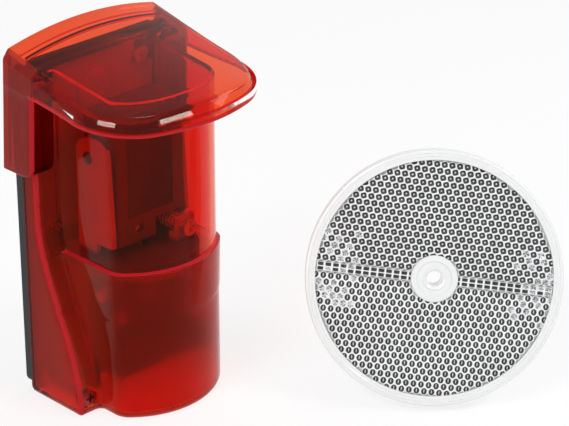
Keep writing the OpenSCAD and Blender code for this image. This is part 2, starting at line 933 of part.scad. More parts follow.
// Round lamp on its foot, lying along the line of sight
module lamp(d, back, len) {
  bar(d, back, back + len - d / 2);
  translate([0, d / 2 - back - len, 0]) sphere(d = d);
}

module power_lamp() {
  color([0.2, 0.7, 0.25])
  translate([power_lamp_x, 0, power_lamp_z]) lamp(power_lamp_d, board_front + mount_gap, power_lamp_len);
}

// Tube swept along a route of [distance, height] points in the middle plane
function route_step(p, i) = p[min(i + 1, len(p) - 1)] - p[max(i - 1, 0)];
module lead(route) {
  last = len(route) - 1;
  points = [for (i = [0:last], k = [0:lead_sides - 1])
    let (step = route_step(route, i), along = step / norm(step), a = 360 * k / lead_sides)
      [lead_r * cos(a), -route[i][0] + lead_r * sin(a) * along[1],
        route[i][1] + lead_r * sin(a) * along[0]]];
  sides = [for (i = [0:last - 1], k = [0:lead_sides - 1])
    let (a = i * lead_sides + k, b = i * lead_sides + (k + 1) % lead_sides)
      each [[a, a + lead_sides, b + lead_sides], [a, b + lead_sides, b]]];
  ends = [[for (k = [0:lead_sides - 1]) k],
    [for (k = [lead_sides - 1:-1:0]) last * lead_sides + k]];
  polyhedron(points, concat(sides, ends));
}

module signal_lead() {
  color([0.25, 0.25, 0.27]) lead(board_lead_route);
}

module head_lead() {
  color([0.25, 0.25, 0.27]) lead(head_lead_route);
}

module cheek_side_view(cut) {
  top_front = cheek_front - cheek_lean;
  difference() {
    polygon(concat([[-cheek_back, table_z], [-cheek_front, table_z], [-cheek_front, cheek_cut_z]],
      arc_points([cheek_r - top_front, cheek_top - cheek_r], cheek_r, 180, 90, corner_steps),
      arc_points([-cheek_back - cheek_r, cheek_top - cheek_r], cheek_r, 90, 0, corner_steps)));
    translate([-tilt_d, tilt_z]) circle(d = tilt_pin_d + 2 * run_gap);
    if (cut)
      polygon([[-cheek_front - overrun, table_top], [cheek_cut - cheek_front, table_top],
        [cheek_cut - cheek_front, cheek_cut_z - cheek_cut], [-cheek_front, cheek_cut_z],
        [-cheek_front - overrun, cheek_cut_z]]);
    else
      translate([-cheek_front - overrun, table_top])
        square([cheek_front - cheek_foot_front + overrun, cheek_foot_z - table_top]);
  }
}

module turntable() {
  color([0.42, 0.16, 0.1])
  difference() {
    union() {
      translate([0, -pan_d, table_z]) cylinder(r = table_r, h = table_t);
      translate([0, -pan_d, table_z - hub_drop]) cylinder(r = hub_r, h = hub_drop + table_t / 2);
      for (side = [-1, 1])
        translate([side * (cheek_in + cheek_out) / 2, 0, 0])
          across(cheek_t) cheek_side_view(side > 0);
      translate([screw_x, 0, 0]) {
        block(fork_w, foot_back, fork_front, table_z, table_top + foot_h);
        block(fork_w, fork_front - fork_t, fork_front, table_z, fork_top);
      }
    }
    translate([0, -pan_d, table_z - hub_drop - overrun])
      cylinder(r = hub_bore_r, h = hub_drop + table_t + 2 * overrun);
    translate([screw_x, 0, screw_z])
      bar(tilt_screw_d + 2 * mount_gap, foot_back - overrun, fork_front + overrun);
    translate([screw_x, 0, screw_z])
      bar(spring_d + 4 * mount_gap, foot_back - overrun, fork_front - fork_t);
  }
}

module turntable_washer() {
  color([0.9, 0.9, 0.85])
  translate([0, -pan_d, shelf_top + mount_gap / 2])
  difference() {
    cylinder(r = table_r / 2, h = washer_t);
    translate([0, 0, -overrun]) cylinder(r = shelf_hole_r, h = washer_t + 2 * overrun);
  }
}

module turntable_ring() {
  color([0.55, 0.55, 0.57])
  translate([0, -pan_d, table_z - hub_drop])
  difference() {
    cylinder(r = ring_r, h = ring_t);
    translate([0, 0, -overrun]) cylinder(r = hub_r + run_gap, h = ring_t + 2 * overrun);
  }
}

module tilt_screw() {
  color("silver")
  translate([screw_x, 0, screw_z])
    screw(tilt_screw_d, tilt_head_d, tilt_head_t, thread_end, fork_front + run_gap);
}

module tilt_nut() {
  color([0.8, 0.65, 0.3])
  translate([screw_x, -nut_y, screw_z])
  difference() {
    rotate([0, 90, 0]) translate([0, 0, -nut_w / 2]) cylinder(d = nut_d, h = nut_w);
    rotate([90, 0, 0]) translate([0, 0, -nut_d])
      cylinder(d = tilt_screw_d + 2 * run_gap, h = 2 * nut_d);
  }
}

// Helix of the spring, with its ends run flat against the fork and the lug
spring_from = lug_front + mount_gap + spring_wire / 2;
spring_to = fork_front - fork_t - mount_gap - spring_wire / 2;
spring_r = (spring_d - spring_wire) / 2;
spring_rings = spring_curls * curl_rings;
function spring_point(i, r, lift) =
  let (a = 360 * i / curl_rings)
    [r * cos(a), -(spring_from + (spring_to - spring_from) * i / spring_rings) - lift,
      r * sin(a)];
spring_middles = [for (i = [0:spring_rings]) spring_point(i, spring_r, 0)];
spring_least = min([for (i = [0:spring_rings], j = [i + curl_rings - 2:spring_rings])
  if (j > i + 2) norm(spring_middles[i] - spring_middles[j]) - spring_wire]);
echo(spring_least_gap = spring_least);

module tilt_spring() {
  points = [for (i = [0:spring_rings], k = [0:curl_sides - 1])
    let (a = 360 * k / curl_sides)
      spring_point(i, spring_r + spring_wire / 2 * cos(a), spring_wire / 2 * sin(a))];
  sides = [for (i = [0:spring_rings - 1], k = [0:curl_sides - 1])
    let (a = i * curl_sides + k, b = i * curl_sides + (k + 1) % curl_sides)
      each [[a, b, b + curl_sides], [a, b + curl_sides, a + curl_sides]]];
  ends = [[for (k = [curl_sides - 1:-1:0]) k],
    [for (k = [0:curl_sides - 1]) spring_rings * curl_sides + k]];
  color([0.7, 0.7, 0.72])
  translate([screw_x, 0, screw_z]) polyhedron(points, concat(sides, ends));
}

module filter_opening(gap, back, front) {
  translate([0, 0, filter_z])
    block(filter_w + 2 * gap, back, front, -gap, filter_h + gap);
}

module head_shell() {
  color([0.22, 0.08, 0.06])
  difference() {
    union() {
      difference() {
        block(head_w, head_rear, head_front, head_z, head_top);
        block(head_w - 2 * head_wall, head_rear - overrun, head_front - head_wall,
          head_floor_z, head_top - head_wall);
      }
      translate([screw_x, 0, 0]) intersection() {
        block(lug_w, lug_back, lug_front, lug_z, head_floor_z);
        translate([-screw_x, 0, 0]) block(head_w, 0, head_front, 0, head_top);
      }
      for (side = [-1, 1])
        translate([side * (head_w / 2 + pin_in) / 2, 0, tilt_z])
          block(head_w / 2 - pin_in, tilt_d - pin_boss / 2, tilt_d + pin_boss / 2, -pin_boss / 2,
            pin_boss / 2);
    }
    filter_opening(filter_gap, head_front - head_wall - overrun, head_front + overrun);
    translate([(notch_x + head_w) / 2, 0, 0])
      block(head_w - notch_x, lug_front, head_front + overrun, head_z - overrun,
        head_floor_z - head_wall);
    translate([screw_x, 0, screw_z]) {
      bar(tilt_screw_d + 2 * side_gap, 0, head_front);
      block(tilt_screw_d + 2 * side_gap, 0, lug_front + overrun, -nut_slot_play, nut_slot_play);
      for (end = [-1, 1]) translate([0, 0, end * nut_slot_play])
        bar(tilt_screw_d + 2 * side_gap, 0, head_front);
    }
    translate([screw_x, -nut_y, screw_z]) rotate([0, 90, 0]) {
      translate([0, 0, -nut_w / 2 - nut_play]) {
        for (end = [-1, 1]) translate([end * nut_slot_play, 0, 0])
          cylinder(d = nut_d + 2 * nut_play, h = head_w);
        translate([-nut_slot_play, -nut_d / 2 - nut_play, 0])
          cube([2 * nut_slot_play, nut_d + 2 * nut_play, head_w]);
      }
    }
    translate([0, -tilt_d, tilt_z]) rotate([0, 90, 0])
      translate([0, 0, -head_w]) cylinder(d = tilt_pin_d, h = 2 * head_w);
    translate([aim_lamp_x, 0, aim_lamp_z])
      bar(aim_lamp_d + 2 * mount_gap, head_front - aim_lamp_len, head_front + overrun);
  }
}

module head_back() {
  color([0.14, 0.07, 0.06])
  difference() {
    union() {
      block(head_w, head_rear - back_t, head_rear - run_gap, head_floor_z, head_top);
      block(bump_w, bump_back, head_rear - back_t / 2, bump_z, bump_top);
    }
    block(bump_w - 2 * head_wall, bump_back + head_wall, head_rear + overrun,
      bump_z + head_wall, bump_top - head_wall);
    translate([screw_x, 0, 0])
      block(lug_w + 2 * side_gap, lug_back - side_gap, lug_front, lug_z, head_floor_z + side_gap);
    translate([0, 0, tilt_z]) bar(2 * lead_port_r, bump_back - overrun, bump_back + 2 * head_wall);
    for (side = [-1, 1], z = [head_floor_z + head_screw_inset, head_top - head_screw_inset])
      translate([side * head_screw_x, 0, z])
        bar(head_screw_d + 2 * mount_gap, bump_back, head_rear + overrun);
  }
}

// Corner blocks of the holder take the four screws of the back
module head_screws() {
  color("silver")
  for (side = [-1, 1], z = [head_floor_z + head_screw_inset, head_top - head_screw_inset])
    translate([side * head_screw_x, 0, z]) {
      bar(head_screw_d, head_rear - back_t - run_gap, head_rear + 2 * head_screw_d);
      difference() {
        bar(head_screw_head_d, head_rear - back_t - run_gap - head_screw_head_t,
          head_rear - back_t - run_gap);
        block(head_screw_head_d * recess_share, 0,
          head_rear - back_t - head_screw_head_t + recess_depth / 2, -recess_w / 4, recess_w / 4);
      }
    }
}

module dark_filter() {
  color([0.05, 0.02, 0.03])
  translate([0, 0, filter_z])
    block(filter_w, head_front - filter_t, head_front - filter_gap, 0, filter_h);
}

module lens_holder() {
  inner_w = head_w - 2 * head_wall - 2 * holder_gap;
  low = head_floor_z + holder_gap;
  high = head_top - head_wall - holder_gap;
  back = head_rear + 2 * holder_gap;
  color([0.1, 0.09, 0.09])
  difference() {
    union() {
      block(inner_w, lens_front - lens_edge_t - 2 * holder_t, lens_front - lens_edge_t - holder_t,
        low, high);
      for (end = [-1, 1]) translate([0, 0, lens_mid_z + end * lens_pitch / 2])
        difference() {
          bar(lens_d + 2 * lens_wall, back, lens_front - holder_gap);
          bar(lens_d - 2 * holder_t, back - overrun, lens_front + overrun);
        }
      for (side = [-1, 1], z = [head_floor_z + head_screw_inset, head_top - head_screw_inset])
        translate([side * head_screw_x, 0, z])
          bar(head_screw_head_d - 2 * holder_gap, back, lens_front - lens_edge_t - holder_t);
    }
    for (end = [-1, 1]) translate([0, 0, lens_mid_z + end * lens_pitch / 2]) {
      bar(lens_d - 2 * holder_t, 0, head_front);
      bar(lens_d + 2 * run_gap, lens_front - lens_edge_t - run_gap, head_front);
    }
    for (side = [-1, 1], z = [head_floor_z + head_screw_inset, head_top - head_screw_inset])
      translate([side * head_screw_x, 0, z])
        bar(head_screw_d + 2 * run_gap, 0, head_rear + 2 * head_screw_d + holder_gap);
  }
}

// Flat towards the diode, domed towards the filter
module lens_at(z) {
  dome_r = (lens_d * lens_d / 4 + lens_dome * lens_dome) / (2 * lens_dome);
  translate([0, 0, z]) intersection() {
    bar(lens_d, lens_front - lens_edge_t, lens_front + lens_dome);
    translate([0, dome_r - lens_front - lens_dome, 0]) sphere(r = dome_r);
  }
}

module emitter_lens() {
  color([0.8, 0.82, 0.85]) lens_at(lens_mid_z + lens_pitch / 2);
}

module receiver_lens() {
  color([0.8, 0.82, 0.85]) lens_at(lens_mid_z - lens_pitch / 2);
}

module diode_at(z) {
  translate([0, 0, z]) {
    bar(diode_flange_d, head_board_front + mount_gap, head_board_front + mount_gap + diode_flange_t);
    lamp(diode_d, head_board_front + mount_gap, diode_h);
  }
}

module emitter_diode() {
  color([0.7, 0.72, 0.85]) diode_at(lens_mid_z + lens_pitch / 2);
}

module receiver_diode() {
  color([0.1, 0.1, 0.13]) diode_at(lens_mid_z - lens_pitch / 2);
}

module head_board() {
  room = head_wall + holder_gap;
  color([0.1, 0.3, 0.16])
  block(bump_w - 2 * room, head_board_front - board_t, head_board_front, bump_z + room, bump_top - room);
}

module aim_lamp() {
  color([0.9, 0.1, 0.08])
  translate([aim_lamp_x, 0, aim_lamp_z])
    lamp(aim_lamp_d, head_front - aim_lamp_len + mount_gap, aim_lamp_len);
}

module tilt_pins() {
  color("silver")
  for (side = [-1, 1])
    translate([side * (pin_in + cheek_out - pin_recess) / 2, -tilt_d, tilt_z])
      rotate([0, 90, 0]) cylinder(d = tilt_pin_d, h = cheek_out - pin_recess - pin_in, center = true);
}

module tilt_washers() {
  color([0.9, 0.9, 0.85])
  for (side = [-1, 1])
    translate([side * (head_w / 2 + mount_gap + tilt_washer_t / 2), -tilt_d, tilt_z]) rotate([0, 90, 0])
      difference() {
        cylinder(d = tilt_washer_d, h = tilt_washer_t, center = true);
        cylinder(d = tilt_pin_d + 2 * run_gap, h = 2 * tilt_washer_t, center = true);
      }
}

// The reflector leans back on its rim, its face along its own +Z before it is turned
module reflector_frame() {
  mid_z = reflector_d / 2 * cos(reflector_lean) + reflector_t / 2 * sin(reflector_lean);
  translate([reflector_x, -reflector_y, mid_z]) rotate([90 - reflector_lean, 0, -reflector_turn])
    translate([0, 0, -reflector_t / 2]) children();
}

module reflector_lens() {
  color([0.85, 0.86, 0.87])
  reflector_frame()
  difference() {
    cylinder(d = reflector_d, h = reflector_t);
    difference() {
      translate([0, 0, -overrun])
        cylinder(d = reflector_d - 2 * reflector_skirt, h = reflector_t - reflector_lens_t + overrun);
      translate([0, 0, -2 * overrun]) cylinder(d = reflector_boss_d, h = reflector_t);
    }
    translate([0, 0, -overrun]) cylinder(d = reflector_hole_d, h = reflector_t + 2 * overrun);
    translate([0, 0, reflector_t - reflector_lip]) difference() {
      cylinder(d = reflector_d - 2 * reflector_rim, h = reflector_lip + overrun);
      translate([0, 0, -overrun]) cylinder(d = reflector_boss_d, h = reflector_lip + 3 * overrun);
    }
  }
}

module reflector_back() {
  color([0.75, 0.76, 0.77])
  reflector_frame()
  difference() {
    cylinder(d = reflector_d - 2 * reflector_skirt - 2 * reflector_gap, h = reflector_back_t);
    translate([0, 0, -overrun])
      cylinder(d = reflector_boss_d + 2 * reflector_gap, h = reflector_back_t + 2 * overrun);
  }
}

base_plate();
wall_seal();
cable_grommet();
cover_gasket();
front_cover();
hood();
cover_screws_upper();
cover_screws_lower();
chassis();
chassis_screws();
main_board();
board_screws();
terminal_block();
terminal_screws();
terminal_clamps();
relay();
supply_capacitor();
film_capacitor();
control_chip();
board_connector();
signal_lead();
trimmer_body();
trimmer_knob();
mode_switch_body();
mode_slider();
power_lamp();
turntable();
turntable_washer();
turntable_ring();
head_lead();
tilt_screw();
tilt_nut();
tilt_spring();
head_shell();
head_back();
head_screws();
dark_filter();
lens_holder();
emitter_lens();
receiver_lens();
emitter_diode();
receiver_diode();
head_board();
aim_lamp();
tilt_pins();
tilt_washers();
reflector_lens();
reflector_back();
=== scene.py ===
import bmesh
import bpy
import json
import random
from math import asin, copysign, cos, degrees, hypot, pi, radians, sin, sqrt, tan
from mathutils import Matrix, Vector


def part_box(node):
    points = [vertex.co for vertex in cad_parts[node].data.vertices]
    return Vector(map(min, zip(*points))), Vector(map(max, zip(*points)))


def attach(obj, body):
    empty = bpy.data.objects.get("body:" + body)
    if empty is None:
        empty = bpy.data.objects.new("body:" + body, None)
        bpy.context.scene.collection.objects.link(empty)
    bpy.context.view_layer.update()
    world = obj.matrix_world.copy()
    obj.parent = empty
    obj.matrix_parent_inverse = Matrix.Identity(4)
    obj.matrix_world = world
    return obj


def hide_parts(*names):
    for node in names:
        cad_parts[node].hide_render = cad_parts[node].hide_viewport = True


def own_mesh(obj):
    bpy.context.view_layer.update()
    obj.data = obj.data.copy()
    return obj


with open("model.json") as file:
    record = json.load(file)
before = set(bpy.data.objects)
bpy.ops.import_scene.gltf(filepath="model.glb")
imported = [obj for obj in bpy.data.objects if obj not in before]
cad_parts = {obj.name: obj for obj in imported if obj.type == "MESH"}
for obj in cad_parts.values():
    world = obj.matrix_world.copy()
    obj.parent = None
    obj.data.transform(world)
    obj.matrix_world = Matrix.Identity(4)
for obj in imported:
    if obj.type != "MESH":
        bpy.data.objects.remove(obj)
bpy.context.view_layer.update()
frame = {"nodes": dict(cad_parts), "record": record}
mm = 0.001
print("frame loaded:", len(frame["nodes"]), "solids")


# meshes: points are in millimetres, x to the right, y negative towards the beam, z up

def shade(piece, angle):
    for polygon in piece.data.polygons:
        polygon.use_smooth = True
    piece.data.set_sharp_from_angle(angle=radians(angle))


def linked(name, data):
    made = bpy.data.objects.new(name, data)
    bpy.context.scene.collection.objects.link(made)
    return made


def plainMesh(name, points, faces, angle=35):
    data = bpy.data.meshes.new(name)
    data.from_pydata([Vector(p) * mm for p in points], [], faces)
    data.validate()
    piece = linked(name, data)
    shade(piece, angle)
    return piece


def meshPiece(name, points, faces, body="base", angle=35):
    piece = plainMesh(name, points, faces, angle)
    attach(piece, body)
    return piece


def finishedPiece(name, points, faces, slot, body="base", node=None):
    # shows the finish of its slot, and stands in for the solid of that node if one is given
    piece = meshPiece(name, points, faces, body)
    piece.data.materials.append(finishes[slot])
    if node:
        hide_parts(node)
    return piece


def finishFaces(piece, names, choose):
    # choose names the finish of a face by its x, y, z, normal and index
    for name in names:
        piece.data.materials.append(finishes[name])
    for index, polygon in enumerate(piece.data.polygons):
        name = choose(*[c / mm for c in polygon.center], polygon.normal, index)
        polygon.material_index = names.index(name)


def combine(target, tools, operation, solver="EXACT"):
    for tool in tools:
        change = target.modifiers.new("change", "BOOLEAN")
        change.operation, change.solver, change.object = operation, solver, tool
    bpy.context.view_layer.update()
    seen = target.evaluated_get(bpy.context.evaluated_depsgraph_get())
    made = bpy.data.meshes.new_from_object(seen)
    target.modifiers.clear()
    target.data = made
    for tool in tools:  # they are used up
        bpy.data.objects.remove(tool)


def openEdges(piece):
    shape = bmesh.new()
    shape.from_mesh(piece.data)
    count = sum(1 for edge in shape.edges if not edge.is_manifold)
    shape.free()
    return count


def arc(cx, cy, r, start, end, steps, skipFirst=False):
    points = []
    for i in range(int(skipFirst), steps + 1):
        a = radians(start + (end - start) * i / steps)
        points.append((cx + r * cos(a), cy + r * sin(a)))
    return points


def line(p, q, steps, skipFirst=True):
    return [(p[0] + (q[0] - p[0]) * i / steps, p[1] + (q[1] - p[1]) * i / steps)
            for i in range(int(skipFirst), steps + 1)]


def roundedEdge(steps, first=0):
    # for an edge of radius 1, how far each step of its quarter stands in, and how far up
    for k in range(first, steps + 1):
        a = pi / 2 * k / steps
        yield 1 - sin(a), 1 - cos(a)


def mirrored(side):
    return [(-x, y) for x, y in side[::-1]]


def flipped(faces):
    return [f[::-1] for f in faces]


def openSheet(rings, hubs, turned=False):
    # rings run from the left back edge round the front to the right back edge; a hub closes
    # the last ring, and a second one the first ring
    points, count = [p for ring in rings for p in ring], len(rings[0])
    faces = [(a, a + 1, a + 1 + count, a + count) for i in range(len(rings) - 1)
             for a in range(i * count, i * count + count - 1)]
    for hub, start in zip(hubs, ((len(rings) - 1) * count, 0)):
        points.append(hub)
        fan = [(start + j, start + j + 1, len(points) - 1) for j in range(count - 1)]
        faces += fan if start else flipped(fan)
    return points, flipped(faces) if turned else faces, count


def closedShell(outer, inner, outerHubs, innerHubs):
    # two sheets with the same number of rings, joined along their open back edges
    pointsA, facesA, count = openSheet(outer, outerHubs)
    pointsB, facesB, _ = openSheet(inner, innerHubs, turned=True)
    shift, hub = len(pointsA), len(outer) * count
    faces = facesA + [tuple(v + shift for v in f) for f in facesB]
    edges = [*range(0, hub, count), hub, *range(hub - 1, 0, -count)]
    if len(outerHubs) > 1:
        edges += [hub + 1, 0]
    faces += [(a, b, b + shift, a + shift) for a, b in zip(edges, edges[1:])]
    if len(outerHubs) == 1:  # the rim between the two lowest rings
        faces += [(j + 1, j, j + shift, j + 1 + shift) for j in range(count - 1)]
    return pointsA + pointsB, faces, len(facesA)


def column(rows, count, turned=False):
    # faces of a solid made of rings of count points each, closed at both ends
    faces = []
    for low in range(0, (rows - 1) * count, count):
        high = low + count
        for k in range(count):
            n = (k + 1) % count
            faces.append((low + n, low + k, high + k, high + n) if turned
                         else (low + k, low + n, high + n, high + k))
    start, end = tuple(range(count)), tuple(range((rows - 1) * count, rows * count))
    return faces + ([start, end[::-1]] if turned else [start[::-1], end])


def lathe(profile, steps, closed=True):
    # profile of (radius, height) pairs turned about z; a radius of 0 closes on the axis
    points, faces, rows = [], [], []
    for r, z in profile:
        turns = [2 * pi * k / steps for k in range(steps if r else 1)]
        rows.append([len(points) + k for k in range(len(turns))])
        points += [(r * cos(a), r * sin(a), z) for a in turns]
    for low, high in zip(rows, rows[1:] + rows[:1] if closed else rows[1:]):
        for k in range(steps):
            n = (k + 1) % steps
            if len(low) > 1 and len(high) > 1:
                faces.append((low[k], low[n], high[n], high[k]))
            elif len(high) > 1:
                faces.append((low[0], high[n], high[k]))
            elif len(low) > 1:
                faces.append((low[k], low[n], high[0]))
    return points, faces


def placed(points, matrix):
    return [tuple(matrix @ Vector(p)) for p in points]


def outOfWall(x, z):
    # for a turned piece: its axis leaves the wall at this place, towards the beam
    return Matrix.Translation((x, 0, z)) @ Matrix.Rotation(pi / 2, 4, "X")


def smoothRoute(route, steps):
    # Catmull-Rom points through the route, so that a lead bends in one smooth curve
    full = [route[0]] + list(route) + [route[-1]]
    points = []
    for i in range(1, len(full) - 2):
        a, b, c, d = (Vector(full[i + k]) for k in (-1, 0, 1, 2))
        for j in range(steps):
            t = j / steps
            points.append(0.5 * ((2 * b) + (c - a) * t + (2 * a - 5 * b + 4 * c - d) * t * t
                                 + (3 * b - a - 3 * c + d) * t ** 3))
    return points + [Vector(route[-1])]


def tube(route, r, sides):
    points, last = [], len(route) - 1
    normal = (route[1] - route[0]).normalized().orthogonal().normalized()
    for i, p in enumerate(route):
        along = (route[min(i + 1, last)] - route[max(i - 1, 0)]).normalized()
        normal = (normal - along * normal.dot(along)).normalized()
        other = along.cross(normal)
        for k in range(sides):
            a = 2 * pi * k / sides
            points.append(tuple(p + r * (normal * cos(a) + other * sin(a))))
    return points, column(len(route), sides)


# materials

class Wire:
    # a socket of the material being made, so that sums on it add their own nodes
    def __init__(self, paint, socket):
        self.paint, self.socket = paint, socket

    def sum(self, operation, other):
        return self.paint.add("Math", {"operation": operation}, {0: self, 1: other})

    def __add__(self, other):
        return self.sum("ADD", other)

    def __mul__(self, other):
        return self.sum("MULTIPLY", other)

    def either(self, other):
        return self.sum("MAXIMUM", other)

    __radd__, __rmul__ = __add__, __mul__


class Paint:
    # the nodes of one material, or of the world
    def __init__(self, name, room=None):
        self.material = room or bpy.data.materials.new(name)
        self.material.use_nodes = True
        self.tree = self.material.node_tree
        self.tree.nodes.clear()

    def add(self, kind, settings=None, sockets=None, output=0):
        made = self.tree.nodes.new("ShaderNode" + kind)
        for key, value in (settings or {}).items():
            if key == "stops":
                ramp = made.color_ramp
                while len(ramp.elements) < len(value):
                    ramp.elements.new(0.5)
                for element, (place, colour) in zip(ramp.elements, value):
                    element.position, element.color = place, (*colour, 1)
            else:
                setattr(made, key, value)
        for key, value in (sockets or {}).items():
            socket = made.inputs[key]
            if isinstance(value, Wire):
                self.tree.links.new(value.socket, socket)
            else:
                socket.default_value = (*value, 1) if socket.type == "RGBA" else value
        return Wire(self, made.outputs[output]) if len(made.outputs) else made

    def place(self):
        return self.add("TexCoord", output="Object")

    def noise(self, scale, detail=2.0, place=None):
        place = place or self.place()
        return self.add("TexNoise", {}, {"Vector": place, "Scale": scale, "Detail": detail})

    def between(self, axis, start, end):
        # passes from 0 to 1 between two places on an axis, in millimetres
        sockets = {"Value": self.add("SeparateXYZ", {}, {"Vector": self.place()}, axis),
                   "From Min": start * mm, "From Max": end * mm}
        return self.add("MapRange", {}, sockets)

    def mixed(self, share, first, second):
        return self.add("Mix", {"data_type": "RGBA"}, {0: share, 6: first, 7: second}, 2)

    def blended(self, share, first, second):
        return self.add("MixShader", {}, {0: share, 1: first, 2: second})

    def relief(self, height, strength, depth, edge=0.0):
        # depth of the grain and radius of the piece's edges, in millimetres
        sockets = {"Height": height, "Strength": strength, "Distance": depth * mm}
        if edge:
            sockets["Normal"] = self.add("Bevel", {"samples": 4}, {"Radius": edge * mm})
        return self.add("Bump", {}, sockets)

    def body(self, sockets):
        return self.add("BsdfPrincipled", {}, sockets)

    def close(self, body, shadow=None):
        if shadow:  # light goes through a clear shell instead of stopping at it
            through = self.add("BsdfTransparent", {}, {"Color": shadow})
            body = self.blended(self.add("LightPath", output="Is Shadow Ray"), body, through)
        self.add("OutputMaterial", {}, {"Surface": body})
        return self.material

    def finish(self, sockets, shadow=None):
        return self.close(self.body(sockets), shadow)


warmGleam, paleGleam = (0.9, 0.7, 0.45), (1, 0.9, 0.82)


def toned(colour, share):
    return tuple(min(1, c * share) for c in colour)


def oneFace(tint):
    # a wall has two faces, so light that meets one keeps the root of the tint
    return tuple(sqrt(c) for c in tint)


def shellBody(paint, tint, frost, grain, gleam=warmGleam, clear=1.0, level=0.5):
    skin = paint.relief(paint.noise(grain["scale"]), grain["strength"], grain["depth"])
    return paint.body({
        "Base Color": tint, "Roughness": frost + 0.03 * paint.noise(45, 3), "IOR": 1.22,
        "Transmission Weight": clear, "Specular Tint": gleam, "Specular IOR Level": level,
        "Normal": skin})


def clearShell(name, tint, *manner, **more):
    paint = Paint(name)
    return paint.close(shellBody(paint, tint, *manner, **more), oneFace(tint))


def fadingShell(name, near, far, start, end):
    # one red shell that passes into another between two depths, in millimetres from the wall
    paint = Paint(name)
    share = paint.between("Y", -start, -end)
    body = paint.blended(share, shellBody(paint, **near), shellBody(paint, **far))
    return paint.close(body, oneFace(far["tint"]))


def moulded(name, colour, rough, grain=0.02, coat=0.0, scale=900, below=None, level=0.0):
    # below is the colour of what lies under that level, in millimetres; it is painted shade, a
    # darker colour under the level
    paint = Paint(name)
    patch = paint.noise(60, 4)
    worn = (0.85, 1.15)
    tones = [toned(colour, share) for share in worn]
    if below:
        # painted shade: under the level the colour passes to the darker one
        height = paint.between("Z", level - 1, level + 1)
        tones = [paint.mixed(height, toned(below, share), tone)
                 for share, tone in zip(worn, tones)]
    return paint.finish({
        "Base Color": paint.mixed(patch, *tones), "Roughness": rough - 0.06 + 0.12 * patch,
        "Coat Weight": coat, "Coat Roughness": 0.1,
        "Normal": paint.relief(paint.noise(scale), 0.35, grain, 0.25)})


def brushed(name, colour, rough):
    paint = Paint(name)
    patch = paint.noise(140, 3)
    stretched = paint.add("Mapping", {}, {"Vector": paint.place(), "Scale": (1, 1, 12)})
    scratch = paint.noise(1500, place=stretched)
    return paint.finish({
        "Base Color": paint.mixed(patch, toned(colour, 0.8), colour), "Metallic": 1.0,
        "Roughness": rough + 0.15 * patch, "Normal": paint.relief(scratch, 0.25, 0.01, 0.12)})


def clearLens(name, tint, rough=0.02):
    paint = Paint(name)
    return paint.finish({
        "Base Color": tint, "Roughness": rough + 0.03 * paint.noise(80), "IOR": 1.49,
        "Transmission Weight": 1.0, "Normal": paint.relief(paint.noise(300), 0.1, 0.01)}, tint)


